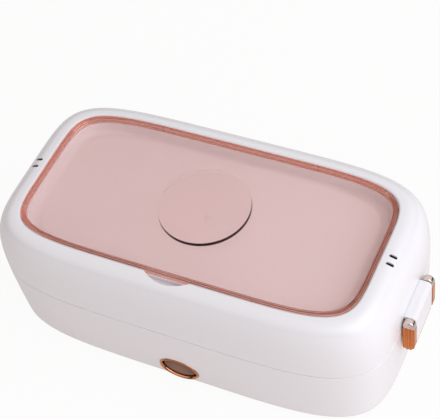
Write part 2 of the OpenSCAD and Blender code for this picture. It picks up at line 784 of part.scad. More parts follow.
// Inner lid: flange behind the outer wall and a flat dome over the food
module lid_liner() {
    top = flange_z + liner_rise;
    color("linen")
    difference() {
        loft([
            outline(lid_in_a - 6, lid_in_b - 6, tray_square, top - liner_t),
            outline(lid_in_a - 3, lid_in_b - 3, tray_square, top - liner_t - 1.2),
            outline(lid_in_a, lid_in_b, tray_square, flange_z + 1),
            outline(lid_in_a + 0.6, lid_in_b + 0.6, tray_square, flange_z),
            body_ring(wall + seat_gap, flange_z),
            body_ring(wall + seat_gap, flange_z + liner_t),
            outline(lid_in_a + liner_t + 0.6, lid_in_b + liner_t + 0.6, tray_square, flange_z + liner_t),
            outline(lid_in_a - 1.8, lid_in_b - 1.8, tray_square, top - 1.2),
            outline(lid_in_a - 5.4, lid_in_b - 5.4, tray_square, top)]);
        for (side = [-1, 1])
            translate([side * (lid_in_a - 16), 0, top - 5]) cylinder(r = 2.5, h = 8);
    }
}

module lid_gasket() {
    mid = flange_w / 2 - 0.2;
    color("gray")
    loop([
        tray_ring(-mid + gasket_w / 2, gasket_z + 0.8), tray_ring(-mid, gasket_z),
        tray_ring(-mid - gasket_w / 2, gasket_z + 0.8), tray_ring(-mid - gasket_w / 2, flange_z),
        tray_ring(-mid + gasket_w / 2, flange_z)]);
}

// Clear cover: a plate with a raised disc, on a deep narrow rim that drops into the window
module cover() {
    under = total_h - plate_drop - clear_t;
    rim_z0 = total_h - rim_t;
    soft = 0.8;                               // rounding of the rim's outer edge
    color([0.86, 0.62, 0.58, 0.6])
    difference() {
        union() {
            loft([
                outline(cover_a - rim_w, cover_b - rim_w, cover_square, under),
                outline(cover_a - rim_w, cover_b - rim_w, cover_square, rim_z0),
                outline(cover_a - 0.3, cover_b - 0.3, cover_square, rim_z0),
                outline(cover_a, cover_b, cover_square, rim_z0 + 0.5),
                outline(cover_a, cover_b, cover_square, total_h - soft),
                outline(cover_a - 0.3 * soft, cover_b - 0.3 * soft, cover_square, total_h - 0.3 * soft),
                outline(cover_a - soft, cover_b - soft, cover_square, total_h),
                outline(cover_a - rim_w + 0.2, cover_b - rim_w + 0.2, cover_square, total_h),
                outline(cover_a - rim_w - 0.2, cover_b - rim_w - 0.2, cover_square, total_h - plate_drop)]);
            translate([0, 0, under + clear_t / 2])
                cylinder(r1 = disc_r, r2 = disc_r - 0.2, h = clear_t / 2 + disc_rise);
        }
        // hollow under the disc, sloping up from the disc's edge
        translate([0, 0, under - EPS]) cylinder(r1 = disc_r - 1.2, r2 = disc_r - 12, h = disc_rise + EPS);
        for (sx = [-1, 1], sy = [-1, 1]) {
            translate([sx * snap_x, sy * (cover_b + 0.4), total_h - rim_t / 2 - 1])
                cube([snap_w, 2, rim_t], center = true);
            translate([sx * (cover_a + 0.4), sy * snap_y, total_h - rim_t / 2 - 1])
                cube([2, snap_w, rim_t], center = true);
        }
    }
}

// ---------- latches ----------

// Parts of a latch are drawn for the right end; the left one is turned half round
module at_end(side) rotate([0, 0, side > 0 ? 0 : 180]) children();

// White flap: a panel with a lip in front of the lugs, a nose over the catch and a knuckle
module latch_flap(side) {
    in_x = half_len + 1.9;
    out_x = half_len + latch_out - 0.4;
    lip_x = pin_x + lug_r + 0.4;
    top = latch_z1 - 0.8;
    free_z = pin_z + lug_r + 1;               // the panel's foot, clear of the lugs
    nose_x = half_len + catch_reach + fit_gap;
    nose_z = catch_z + catch_h + fit_gap;
    knuckle = lug_y - lug_w / 2 - fit_gap;
    at_end(side)
    difference() {
        union() {
            translate([0, flap_half, 0]) rotate([90, 0, 0]) linear_extrude(2 * flap_half)
                polygon([[in_x, free_z], [in_x, nose_z], [nose_x, nose_z + 0.6], [nose_x, top - 0.8],
                         [nose_x + 0.8, top], [out_x - 1.6, top], [out_x - 0.5, top - 0.5],
                         [out_x, top - 1.6], [out_x, pin_z], [out_x - 0.3, pin_z - 1],
                         [lip_x, pin_z - 1], [lip_x, free_z]]);
            rod_y(pin_x, pin_z, 2.6, -knuckle, knuckle);
            box([pin_x - 1.8, -knuckle, pin_z], [pin_x + 2.8, knuckle, free_z + 1]);
        }
        rod_y(pin_x, pin_z, bore_r, -knuckle - 1, knuckle + 1);
    }
}

// Frame of a latch: two cheeks with a round head over the catch and a round foot on the pin, and
// a thin bar that joins them under the flap
module latch_clips(side) {
    knuckle_r = pin_out - 0.5;
    head_r = 3.4;
    face_x = half_len + latch_out;
    head_x = face_x - head_r;
    head_z = latch_z1 - head_r;
    in_x = half_len + 0.6;
    bar_x = face_x - 1.4;       // thin bar that joins the cheeks under the flap
    bar_z = pin_z - 1.9;
    bar_y = latch_half - cheek_t + 0.5;
    at_end(side) {
        box([bar_x, -bar_y, bar_z], [bar_x + 0.8, bar_y, bar_z + 0.6]);
        for (s = [-1, 1]) {
            y0 = s > 0 ? latch_half - cheek_t : -latch_half;
            difference() {
                union() {
                    rod_y(pin_x, pin_z, knuckle_r, y0, y0 + cheek_t);
                    rod_y(head_x, head_z, head_r, y0, y0 + cheek_t);
                    translate([0, y0 + cheek_t, 0]) rotate([90, 0, 0]) linear_extrude(cheek_t)
                        polygon([[pin_x - knuckle_r, pin_z], [in_x, pin_z + 3], [in_x, head_z],
                                 [head_x, head_z], [face_x, head_z - 0.5], [face_x, pin_z - 1],
                                 [face_x - 0.9, pin_z - 2.3], [pin_x, pin_z - 2.3]]);
                }
                // blind bore for the pin, open towards the flap
                rod_y(pin_x, pin_z, bore_r, s > 0 ? y0 - 1 : 1 - latch_half,
                    s > 0 ? latch_half - 1 : y0 + cheek_t + 1);
                // flutes down the outer face
                for (x = [half_len + 2.4, half_len + 4, half_len + 5.6])
                    translate([x, s * (latch_half + 0.3), pin_z + 1])
                        cylinder(r = 0.55, h = latch_rise - 9, $fn = 24);
            }
        }
    }
}

module latch_pin(side)
    color("gray")
    at_end(side) rod_y(pin_x, pin_z, pin_r, -latch_half + 1.5, latch_half - 1.5);

base_shell();
bottom_cover();
feet();
bottom_screws();
base_liner();
well_sleeve();
heating_plate();
ptc_heater();
heater_clamp();
clamp_nuts();
thermostat();
thermal_fuse();
inlet_socket();
inlet_pins();
wires();
button_ring();
switch_board();
tact_switch();
led();
latch_pin(1);  // latch_pin_right
latch_pin(-1);  // latch_pin_left
steel_tray();
divider();
lid_shell();
lid_liner();
lid_gasket();
storage_well();
steam_valves();
cover();
power_button();
color("white") latch_flap(1);  // latch_flap_right
color("chocolate") latch_clips(1);  // latch_clips_right
color("white") latch_flap(-1);  // latch_flap_left
color("chocolate") latch_clips(-1);  // latch_clips_left
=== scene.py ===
import math

import bmesh
import bpy
from mathutils import Matrix, Vector

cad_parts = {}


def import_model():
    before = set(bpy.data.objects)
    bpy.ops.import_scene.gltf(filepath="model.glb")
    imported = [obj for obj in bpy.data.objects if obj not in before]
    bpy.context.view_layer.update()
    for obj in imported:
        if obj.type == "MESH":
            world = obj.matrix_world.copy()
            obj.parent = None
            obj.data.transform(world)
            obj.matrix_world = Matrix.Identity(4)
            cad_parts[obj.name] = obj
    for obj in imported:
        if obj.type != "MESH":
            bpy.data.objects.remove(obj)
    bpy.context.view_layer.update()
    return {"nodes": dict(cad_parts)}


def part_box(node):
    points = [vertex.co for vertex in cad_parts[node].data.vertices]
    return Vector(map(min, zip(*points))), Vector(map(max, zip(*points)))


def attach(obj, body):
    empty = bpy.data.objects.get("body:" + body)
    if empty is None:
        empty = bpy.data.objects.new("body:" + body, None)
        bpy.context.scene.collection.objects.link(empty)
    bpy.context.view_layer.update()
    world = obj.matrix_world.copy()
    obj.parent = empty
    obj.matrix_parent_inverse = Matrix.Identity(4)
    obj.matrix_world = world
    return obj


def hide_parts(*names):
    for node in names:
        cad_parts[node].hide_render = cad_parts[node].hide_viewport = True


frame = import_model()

# Looks of an electric lunch box. Lengths are in millimetres, and MM turns them into metres. Driving
# sizes are read from the frame, so that every piece lies where its CAD node does.

MM = 0.001


def corners_of(node):
    """Lowest and highest corner of a CAD node, in millimetres."""
    low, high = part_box(node)
    return low / MM, high / MM


# ---------- driving sizes, from the frame ----------

shell_low, shell_high = corners_of("base_shell")
lid_low, lid_high = corners_of("lid_shell")
cover_high = corners_of("cover")[1]
tray_low, tray_high = corners_of("steel_tray")
plate_high = corners_of("heating_plate")[1]
ring_low, ring_high = corners_of("button_ring")
lens_low, lens_high = corners_of("power_button")
flap_low, flap_high = corners_of("latch_flap_right")
clip_low, clip_high = corners_of("latch_clips_right")
pin_low, pin_high = corners_of("latch_pin_right")
feet_high = corners_of("feet")[1]
screws_high = corners_of("bottom_screws")[1]

CATCH_REACH = 0.5            # reach of the ledge under a latch's nose
BODY_SQUARE = 4.7            # squareness of the body's outline
COVER_SQUARE = 6.0           # squareness of the cover's outline
TRAY_SQUARE = 5.0            # squareness of the tray's outline
WELL_SQUARE = 4.6            # squareness of the heated well
SHOULDER_FULL = 2.73         # fullness of the lid's shoulder
WALL = 2.4                   # wall of the outer mouldings
DRAFT = 1.5                  # lean of the base's wall
EDGE_R = 5.6                 # lower edge of the base
LIP_H = 3.2                  # height of the lip on the base's wall
RIM_H = 4.6                  # height of the clear cover's rim
RIM_W = 1.8                  # width of that rim
TRAY_FLANGE = 4.0            # width of the tray's flange
TRAY_DRAFT = 5.5             # lean of the tray's wall, and of the heated well's
SHEET = 0.8                  # thickness of the tray and the divider
BORE_R = 1.25                # bores round the latches' pins
CHEEK_T = 4.0                # thickness of a latch's cheek
HEAD_R = 3.4                 # radius of a cheek's head

half_len = lid_high.x - CATCH_REACH
half_wid = shell_high.y
base_z = shell_low.z
seam_z = shell_high.z
lid_z = lid_low.z
total_z = lid_high.z + 0.3
cover_a, cover_b = cover_high.x, cover_high.y
flange_a, flange_b = tray_high.x, tray_high.y
tray_a, tray_b = flange_a - TRAY_FLANGE, flange_b - TRAY_FLANGE
well_a, well_b = tray_a + 1.6, tray_b + 1.6
seat_z = tray_high.z - 2.3                    # seat of the tray's flange in the base
pin_x, pin_z = (pin_low.x + pin_high.x) / 2, (pin_low.z + pin_high.z) / 2
cheek_x = half_len + 0.6                      # inner face of a latch's cheek
head_z = clip_high.z - HEAD_R                 # centre of a cheek's head
ledge_z = total_z - RIM_H - 0.3               # ledge under the clear cover's rim
sill_z = ledge_z - 1.5                        # underside of that ledge


# ---------- small helpers ----------

def feed(tree, node, inputs):
    """Sets a node's inputs, by name or number, to values, hex colours or the results of other nodes."""
    for key, value in inputs.items():
        if isinstance(value, bpy.types.Node):
            value = next(socket for socket in value.outputs if socket.enabled)
        if isinstance(value, bpy.types.NodeSocket):
            tree.links.new(value, node.inputs[key])
        else:
            is_colour = isinstance(value, str) and value.startswith("#")
            node.inputs[key].default_value = linear(value) if is_colour else value


def add(tree, kind, inputs=None, **settings):
    """Adds a node with its settings, its links and its values."""
    node = tree.nodes.new(kind)
    for name, value in settings.items():
        setattr(node, name, value)
    feed(tree, node, inputs or {})
    return node


def work_out(tree, known, sums):
    """Adds a chain of sums. Each is a name for its result, an operation, and names or numbers as terms."""
    for name, operation, *terms in sums:
        inputs = {i: known[term] if isinstance(term, str) else term for i, term in enumerate(terms)}
        known[name] = add(tree, "ShaderNodeMath", inputs, operation=operation)
    return known


def linear(code):
    """Linear colour of an sRGB hex value."""
    parts = [int(code[i:i + 2], 16) / 255 for i in (1, 3, 5)]
    return tuple(c / 12.92 if c <= 0.04045 else ((c + 0.055) / 1.055) ** 2.4 for c in parts) + (1.0,)


def per(size):
    """Texture scale, per metre, of a pattern that repeats every size millimetres."""
    return 1 / (size * MM)


def linked(name, mesh):
    """New object with a mesh, in the scene."""
    piece = bpy.data.objects.new(name, mesh)
    bpy.context.scene.collection.objects.link(piece)
    return piece


def settle(piece):
    """Turns a piece and its modifiers into a plain mesh."""
    depsgraph = bpy.context.evaluated_depsgraph_get()
    mesh = bpy.data.meshes.new_from_object(piece.evaluated_get(depsgraph))
    piece.modifiers.clear()
    piece.data = mesh
    return piece


def outward(piece, sharp=32):
    """Merges doubles, points the faces outwards, and keeps edges over sharp degrees crisp."""
    work = bmesh.new()
    work.from_mesh(piece.data)
    bmesh.ops.remove_doubles(work, verts=work.verts, dist=0.0005 * MM)
    bmesh.ops.recalc_face_normals(work, faces=work.faces)
    for face in work.faces:
        face.smooth = True
    work.to_mesh(piece.data)
    work.free()
    piece.data.set_sharp_from_angle(angle=math.radians(sharp))
    return piece


def joined(piece, tools, operation="DIFFERENCE"):
    """Cuts the tools out of a piece, or with UNION adds them to it."""
    for tool in tools:
        change = piece.modifiers.new("join", "BOOLEAN")
        change.operation = operation
        change.solver = "EXACT"
        change.object = tool
        settle(piece)
        bpy.data.objects.remove(tool)
    return outward(piece)


def softened(piece, width, segments=3, angle=30):
    """Rounds the edges of a piece."""
    change = piece.modifiers.new("soften", "BEVEL")
    change.width = width * MM
    change.segments = segments
    change.limit_method = "ANGLE"
    change.angle_limit = math.radians(angle)
    change.use_clamp_overlap = True
    settle(piece)
    return outward(piece, 40)


def run_tree(piece, tree, inputs):
    """Runs a Geometry Nodes tree on a piece and keeps the result as its mesh."""
    change = piece.modifiers.new("shape", "NODES")
    change.node_group = tree
    for item in tree.interface.items_tree:
        if item.item_type == "SOCKET" and item.in_out == "INPUT" and item.name in inputs:
            change[item.identifier] = inputs[item.name]
    return settle(piece)


def paint(piece, material):
    """Gives a piece one material."""
    piece.data.materials.clear()
    piece.data.materials.append(material)
    return piece


def dress(node, material):
    """Gives a CAD node a better material."""
    part = frame["nodes"][node]
    for slot in part.material_slots:
        slot.material = material


def fit(piece, material, slot, body, *nodes):
    """Paints a finished piece and puts it in the frame in place of its CAD nodes."""
    even = piece.modifiers.new("even", "WEIGHTED_NORMAL")        # keeps flats flat beside their fillets
    even.keep_sharp = True
    settle(piece)
    paint(piece, material)
    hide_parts(*nodes)
    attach(piece, body)
    return piece


# ---------- shape trees ----------

def shape_tree(name, sockets):
    """New Geometry Nodes tree with inputs (name, kind, value), and the outputs of its input node."""
    tree = bpy.data.node_groups.new(name, "GeometryNodeTree")
    for label, kind, value in sockets:
        socket = tree.interface.new_socket(label, in_out="INPUT", socket_type="NodeSocket" + kind)
        if value is not None:
            socket.default_value = value
    tree.interface.new_socket("Geometry", in_out="OUTPUT", socket_type="NodeSocketGeometry")
    return tree, add(tree, "NodeGroupInput").outputs


def finish_tree(tree, geometry, finish):
    """Ends a tree in real geometry of one material."""
    real = add(tree, "GeometryNodeRealizeInstances", {0: geometry})
    done = add(tree, "GeometryNodeSetMaterial", {"Geometry": real, "Material": finish})
    add(tree, "NodeGroupOutput", {0: done})
    return tree


def rings_tree():
    """Turns each profile point (half length, half width, height) into a superellipse ring."""
    tree, given = shape_tree("superellipse_rings", [
        ("Profile", "Geometry", None), ("Points per Quarter", "Int", 64), ("Corner Ease", "Float", 1.6),
        ("Material", "Material", None)])
    profile = given["Profile"]
    rows = add(tree, "GeometryNodeAttributeDomainSize", {"Geometry": profile})
    known = {"rows": rows, "quarter": given["Points per Quarter"], "ease": given["Corner Ease"],
             "index": add(tree, "GeometryNodeInputIndex")}
    work_out(tree, known, (
        # size of the grid, and this point's column and row in it
        ("columns", "MULTIPLY", "quarter", 4.0), ("columns", "ADD", "columns", 1.0),
        ("column", "ADD", "index", 0.5), ("column", "DIVIDE", "column", "rows"),
        ("column", "FLOOR", "column"),
        ("row", "MULTIPLY", "column", "rows"), ("row", "SUBTRACT", "index", "row"),
        # quarter of the outline, and the share of that quarter, eased towards its straight ends
        ("turn", "ADD", "column", 0.5), ("turn", "DIVIDE", "turn", "quarter"), ("turn", "FLOOR", "turn"),
        ("share", "MULTIPLY", "turn", "quarter"), ("share", "SUBTRACT", "column", "share"),
        ("share", "DIVIDE", "share", "quarter"), ("near", "POWER", "share", "ease"),
        ("far", "SUBTRACT", 1.0, "share"), ("far", "POWER", "far", "ease"),
        ("angle", "ADD", "near", "far"), ("angle", "DIVIDE", "near", "angle"),
        ("angle", "MULTIPLY", "angle", math.pi / 2)))

    # the profile point of this row: its place and its squareness
    place, square = (
        add(tree, "GeometryNodeSampleIndex", {"Geometry": profile, "Value": value, "Index": known["row"]},
            data_type=kind, domain="POINT")
        for value, kind in (
            (add(tree, "GeometryNodeInputPosition"), "FLOAT_VECTOR"),
            (add(tree, "GeometryNodeInputNamedAttribute", {"Name": "square"}, data_type="FLOAT"), "FLOAT")))
    size = add(tree, "ShaderNodeSeparateXYZ", {0: place}).outputs
    known.update(square=square, length=size[0], width=size[1])
    work_out(tree, known, (
        ("power", "DIVIDE", 2.0, "square"),
        ("x", "COSINE", "angle"), ("x", "POWER", "x", "power"),
        ("y", "SINE", "angle"), ("y", "POWER", "y", "power"),
        # x and y change places in the odd quarters, and take the signs of the quarter's middle
        ("odd", "MODULO", "turn", 2.0), ("gap", "SUBTRACT", "y", "x"), ("gap", "MULTIPLY", "gap", "odd"),
        ("x", "ADD", "x", "gap"), ("y", "SUBTRACT", "y", "gap"),
        ("middle", "ADD", "turn", 0.5), ("middle", "MULTIPLY", "middle", math.pi / 2),
        ("sign", "COSINE", "middle"), ("sign", "SIGN", "sign"),
        ("x", "MULTIPLY", "sign", "x"), ("x", "MULTIPLY", "x", "length"),
        ("sign", "SINE", "middle"), ("sign", "SIGN", "sign"),
        ("y", "MULTIPLY", "sign", "y"), ("y", "MULTIPLY", "y", "width")))
    grid = add(tree, "GeometryNodeMeshGrid", {"Vertices X": known["columns"], "Vertices Y": rows})
    point = add(tree, "ShaderNodeCombineXYZ", {0: known["x"], 1: known["y"], 2: size[2]})
    moved = add(tree, "GeometryNodeSetPosition", {"Geometry": grid, "Position": point})
    merged = add(tree, "GeometryNodeMergeByDistance", {"Geometry": moved, "Distance": 0.001 * MM})
    return finish_tree(tree, merged, given["Material"])


def corners_tree():
    """Copies a piece to the four corners of a rectangle round the Z axis."""
    tree, given = shape_tree("four_corners", [
        ("Piece", "Geometry", None), ("Spacing X", "Float", None), ("Spacing Y", "Float", None),
        ("Material", "Material", None)])
    grid = add(tree, "GeometryNodeMeshGrid", {"Size X": given["Spacing X"], "Size Y": given["Spacing Y"],
                                              "Vertices X": 2, "Vertices Y": 2})
    copies = add(tree, "GeometryNodeInstanceOnPoints", {"Points": grid, "Instance": given["Piece"]})
    return finish_tree(tree, copies, given["Material"])


def tube_tree():
    """Lays a round tube along a line of points, with rounded corners."""
    tree, given = shape_tree("lead_tube", [
        ("Line", "Geometry", None), ("Radius", "Float", None), ("Bend", "Float", None),
        ("Material", "Material", None)])
    path = add(tree, "GeometryNodeMeshToCurve", {0: given["Line"]})
    bent = add(tree, "GeometryNodeFilletCurve", {"Curve": path, "Radius": given["Bend"], "Count": 6},
               mode="POLY")
    circle = add(tree, "GeometryNodeCurvePrimitiveCircle", {"Resolution": 14, "Radius": given["Radius"]})
    tube = add(tree, "GeometryNodeCurveToMesh", {"Curve": bent, "Profile Curve": circle, "Fill Caps": True})
    return finish_tree(tree, tube, given["Material"])


RINGS = rings_tree()
CORNERS = corners_tree()
TUBE = tube_tree()


# ---------- profiles and solids ----------

def corner(here, others, reaches, radius, steps):
    """Points of a rounded corner between two others that lie at the given reaches."""
    first, last = (here.lerp(other, min(radius / reach, 0.48)) for other, reach in zip(others, reaches))
    shares = [k / steps for k in range(steps + 1)]
    return [tuple(first * (1 - t) ** 2 + here * (2 * t * (1 - t)) + last * t * t) for t in shares]


def eased(rings, closed, steps):
    """Rounds the corners of a profile. A ring is (half length, half width, squareness, height, radius)."""
    out = []
    count = len(rings)
    for i, ring in enumerate(rings):
        here, radius = Vector(ring[:4]), ring[4]
        if radius <= 0 or (not closed and i in (0, count - 1)):
            out.append(tuple(here))
            continue
        others = [Vector(rings[j % count][:4]) for j in (i - 1, i + 1)]
        reaches = [math.hypot(other[0] - here[0], other[3] - here[3]) for other in others]
        out += corner(here, others, reaches, radius, steps)
    if closed:
        out.append(out[0])
    return out


def loft(name, profile, finish, quarter=64, closed=False, steps=6):
    """Solid through superellipse rings (half length, half width, squareness, height, corner radius)."""
    rings = eased(profile, closed, steps)
    mesh = bpy.data.meshes.new(name)
    mesh.from_pydata([(a * MM, b * MM, z * MM) for a, b, n, z in rings], [], [])
    square = mesh.attributes.new("square", "FLOAT", "POINT")
    square.data.foreach_set("value", [n for a, b, n, z in rings])
    piece = linked(name, mesh)
    run_tree(piece, RINGS, {"Points per Quarter": quarter, "Material": finish})
    return outward(piece)


def placed(piece, matrix):
    """Puts a piece's place into its mesh."""
    piece.data.transform(matrix)
    return outward(piece)


# turns a solid drawn upwards into one that looks along -Y, with its top to the front, and an outline
# drawn in X and Y into one in X and Z
FRONT = Matrix(((1, 0, 0, 0), (0, 0, -1, 0), (0, 1, 0, 0), (0, 0, 0, 1)))


def at(x, y, z):
    """Matrix that moves a piece by millimetres."""
    return Matrix.Translation(Vector((x, y, z)) * MM)


def facing_front(low, high):
    """Place of a solid drawn upwards that fills a node's box from its rear face to the front."""
    middle = (low + high) / 2
    return at(middle.x, high.y, middle.z) @ FRONT


def rounded(points, steps=6):
    """Outline of (x, y, radius) corners, with each corner rounded."""
    out = []
    for i, (x, y, radius) in enumerate(points):
        here = Vector((x, y))
        if radius <= 0:
            out.append((x, y))
            continue
        others = [Vector(points[j % len(points)][:2]) for j in (i - 1, i + 1)]
        out += corner(here, others, [(other - here).length for other in others], radius, steps)
    return out


def circle(radius, x=0.0, y=0.0, count=48, start=0.0, end=360.0):
    """Points of an arc, or of a whole circle."""
    whole = end - start >= 360
    steps = count if whole else count - 1
    angles = [math.radians(start + (end - start) * i / steps) for i in range(count)]
    return [(x + radius * math.cos(t), y + radius * math.sin(t)) for t in angles]


def prism(name, outline, low, high, matrix=None):
    """Solid with a flat outline, from height low to height high, then turned by a matrix."""
    work = bmesh.new()
    floor = [work.verts.new((x * MM, y * MM, low * MM)) for x, y in outline]
    roof = [work.verts.new((x * MM, y * MM, high * MM)) for x, y in outline]
    count = len(outline)
    work.faces.new(floor[::-1])
    work.faces.new(roof)
    for i in range(count):
        j = (i + 1) % count
        work.faces.new((floor[i], floor[j], roof[j], roof[i]))
    mesh = bpy.data.meshes.new(name)
    work.to_mesh(mesh)
    work.free()
    piece = linked(name, mesh)
    if matrix is not None:
        mesh.transform(matrix)
    return outward(piece)


def block(name, low, high):
    """Box between two corners."""
    outline = [low[:2], (high[0], low[1]), high[:2], (low[0], high[1])]
    return prism(name, outline, low[2], high[2])


def disc(size, z, radius=0.0):
    """Round profile ring."""
    return (size, size, 2, z, radius)


def body(inset, z, radius=0.0):
    """Profile ring of the body's outline, drawn in by an inset."""
    return (half_len - inset, half_wid - inset, BODY_SQUARE, z, radius)


def bar_y(name, outline, y0, y1):
    """Solid with an outline in X and Z, from y0 to y1."""
    return prism(name, outline, -y1, -y0, FRONT)


# ---------- materials ----------

def material(name, base, metallic=0.0, roughness=0.4, ior=1.5):
    """New material with a Principled shader, and its tree, shader and object coordinates."""
    made = bpy.data.materials.new(name)
    made.use_nodes = True
    tree = made.node_tree
    shader = tree.nodes["Principled BSDF"]
    feed(tree, shader, {"Base Color": base, "Metallic": metallic, "Roughness": roughness})
    if metallic < 0.5:
        feed(tree, shader, {"IOR": ior})
    return made, tree, shader, add(tree, "ShaderNodeTexCoord").outputs["Object"]


def vary(tree, shader, pattern, colours=None, roughness=None, depth=None):
    """Lets a pattern vary a finish: from one colour to the other, from one roughness to the other over
    the pattern's usual 0.3 to 0.7, and as relief of a depth in millimetres."""
    if colours:
        mix = add(tree, "ShaderNodeMix", {0: pattern, 6: colours[0], 7: colours[1]}, data_type="RGBA")
        feed(tree, shader, {"Base Color": mix})
    if roughness:
        level = add(tree, "ShaderNodeMapRange",
                    {"Value": pattern, 1: 0.3, 2: 0.7, 3: roughness[0], 4: roughness[1]})
        feed(tree, shader, {"Roughness": level})
    if depth:
        bump = add(tree, "ShaderNodeBump", {"Strength": 1.0, "Distance": depth * MM, "Height": pattern})
        feed(tree, shader, {"Normal": bump})


def gloss_moulding(name, dark, light, roughness):
    """Injection-moulded ABS from a polished tool: an even gloss over a faint orange peel."""
    made, tree, shader, place = material(name, light, roughness=roughness, ior=1.53)
    cloud = add(tree, "ShaderNodeTexNoise", {"Vector": place, "Scale": per(90), "Detail": 1})
    vary(tree, shader, cloud, (dark, light))
    peel = add(tree, "ShaderNodeTexNoise", {"Vector": place, "Scale": per(4), "Detail": 2})
    vary(tree, shader, peel, depth=0.002)
    return made


def satin_moulding(name, dark, light, roughness):
    """Moulded plastic from a spark-eroded tool: a fine grain that spreads the light."""
    made, tree, shader, place = material(name, light, roughness=roughness, ior=1.5)
    cloud = add(tree, "ShaderNodeTexNoise", {"Vector": place, "Scale": per(40), "Detail": 3})
    vary(tree, shader, cloud, (dark, light))
    grain = add(tree, "ShaderNodeTexNoise", {"Vector": place, "Scale": per(0.9), "Detail": 2})
    vary(tree, shader, grain, roughness=(roughness - 0.05, roughness + 0.06), depth=0.02)
    return made


def rose_polycarbonate():
    """Clear polycarbonate with a pale rose tint, and painted shade along its rim: a deeper rose there
    stands in for the darker look of the thick rim.
    """
    made, tree, shader, place = material("rose_polycarbonate", "#FFFFFF", roughness=0.03, ior=1.55)
    flow = add(tree, "ShaderNodeTexNoise", {"Vector": place, "Scale": per(30), "Detail": 1})
    vary(tree, shader, flow, roughness=(0.02, 0.05))
    # share of the rim's painted shade: 1 outside the rim's inner outline
    axes = add(tree, "ShaderNodeSeparateXYZ", {0: place}).outputs
    inner_a, inner_b = cover_a - RIM_W - 0.1, cover_b - RIM_W - 0.1
    reach = work_out(tree, {"x": axes[0], "y": axes[1]}, (
        ("x", "DIVIDE", "x", inner_a * MM), ("x", "ABSOLUTE", "x"), ("x", "POWER", "x", COVER_SQUARE),
        ("y", "DIVIDE", "y", inner_b * MM), ("y", "ABSOLUTE", "y"), ("y", "POWER", "y", COVER_SQUARE),
        ("total", "ADD", "x", "y")))["total"]
    edge = add(tree, "ShaderNodeMapRange", {"Value": reach, 1: 0.98, 2: 1.02, 3: 0.0, 4: 1.0})
    # painted shade: a deeper rose along the rim darkens both sight and lamp light there
    tone, thin = (add(tree, "ShaderNodeMix", {0: edge, 6: pale, 7: deep}, data_type="RGBA")
                  for pale, deep in (("#FBEDEA", "#F0B9AA"), ("#FFFAF9", "#F8D6CD")))
    feed(tree, shader, {"Base Color": tone, "Transmission Weight": 1.0, "Specular Tint": "#E6A596"})
    # light from the lamps passes straight through, tinted as sight is, with the rim's painted shade
    straight = add(tree, "ShaderNodeBsdfTransparent", {"Color": thin})
    ray = add(tree, "ShaderNodeLightPath").outputs["Is Shadow Ray"]
    mix = add(tree, "ShaderNodeMixShader", {0: ray, 1: shader, 2: straight})
    inside = add(tree, "ShaderNodeVolumeAbsorption", {"Color": (0.9, 0.65, 0.6, 1), "Density": 40.0})
    feed(tree, tree.nodes["Material Output"], {"Surface": mix, "Volume": inside})
    return made


def polished_rose_gold(name, dark, light, roughness):
    """Vacuum-plated rose gold over a polished moulding: sharp reflections with faint haze."""
    made, tree, shader, place = material(name, light, metallic=1.0, roughness=roughness)
    cloud = add(tree, "ShaderNodeTexNoise", {"Vector": place, "Scale": per(9), "Detail": 3})
    vary(tree, shader, cloud, (dark, light))
    haze = add(tree, "ShaderNodeTexNoise", {"Vector": place, "Scale": per(1.4), "Detail": 4})
    vary(tree, shader, haze, roughness=(roughness - 0.01, roughness + 0.02), depth=0.0008)
    return made


def brushed_stainless(name, grain, roughness):
    """Deep-drawn stainless sheet with drawn brush lines; grain is the spacing along X, Y and Z."""
    made, tree, shader, place = material(name, "#C9C9CC", metallic=1.0, roughness=roughness)
    stretch = add(tree, "ShaderNodeVectorMath", {0: place, 1: tuple(per(g) for g in grain)},
                  operation="MULTIPLY")
    lines = add(tree, "ShaderNodeTexNoise", {"Vector": stretch, "Scale": 1.0, "Detail": 3})
    vary(tree, shader, lines, ("#C4C6CB", "#D6D7DA"), (roughness - 0.03, roughness + 0.05), 0.0015)
    return made


def coated_aluminium():
    """Aluminium with a fired non-stick coat: copper brown, with fine mineral speckles."""
    made, tree, shader, place = material("coated_aluminium", "#A24A1C", roughness=0.36, ior=1.5)
    speck = add(tree, "ShaderNodeTexVoronoi", {"Vector": place, "Scale": per(1.6)})
    spots = add(tree, "ShaderNodeMapRange", {"Value": speck, 1: 0.12, 2: 0.2, 3: 1.0, 4: 0.0})
    cloud = add(tree, "ShaderNodeTexNoise", {"Vector": place, "Scale": per(22), "Detail": 3})
    ground = add(tree, "ShaderNodeMix", {0: cloud, 6: "#8E3D14", 7: "#B1561F"}, data_type="RGBA")
    mix = add(tree, "ShaderNodeMix", {0: spots, 6: ground, 7: "#D08A52"}, data_type="RGBA")
    feed(tree, shader, {"Base Color": mix, "Coat Weight": 0.35, "Coat Roughness": 0.2})
    vary(tree, shader, cloud, depth=0.03)
    return made


def dark_lens():
    """Smoked acrylic lens: a deep brown gloss, with a painted reddish glow in its middle that stands in for
    the LED shining through it.
    """
    made, tree, shader, place = material("smoked_acrylic", "#5A3A2C", roughness=0.16, ior=1.49)
    middle = (lens_low + lens_high) / 2
    centred = add(tree, "ShaderNodeMapping",
                  {"Vector": place, "Location": (-middle.x * MM, -lens_low.y * MM, -middle.z * MM)})
    far = add(tree, "ShaderNodeVectorMath", {0: centred}, operation="LENGTH")
    # painted glow: redder towards the lens's middle, in place of the LED's light behind it
    glow = add(tree, "ShaderNodeMapRange", {"Value": far, 1: 0.0, 2: 7 * MM, 3: 1.0, 4: 0.0})
    cloud = add(tree, "ShaderNodeTexNoise", {"Vector": place, "Scale": per(4.5), "Detail": 2})
    share = add(tree, "ShaderNodeMath", {0: glow, 1: cloud}, operation="MULTIPLY")
    vary(tree, shader, share, ("#66371A", "#A65F36"))
    return made


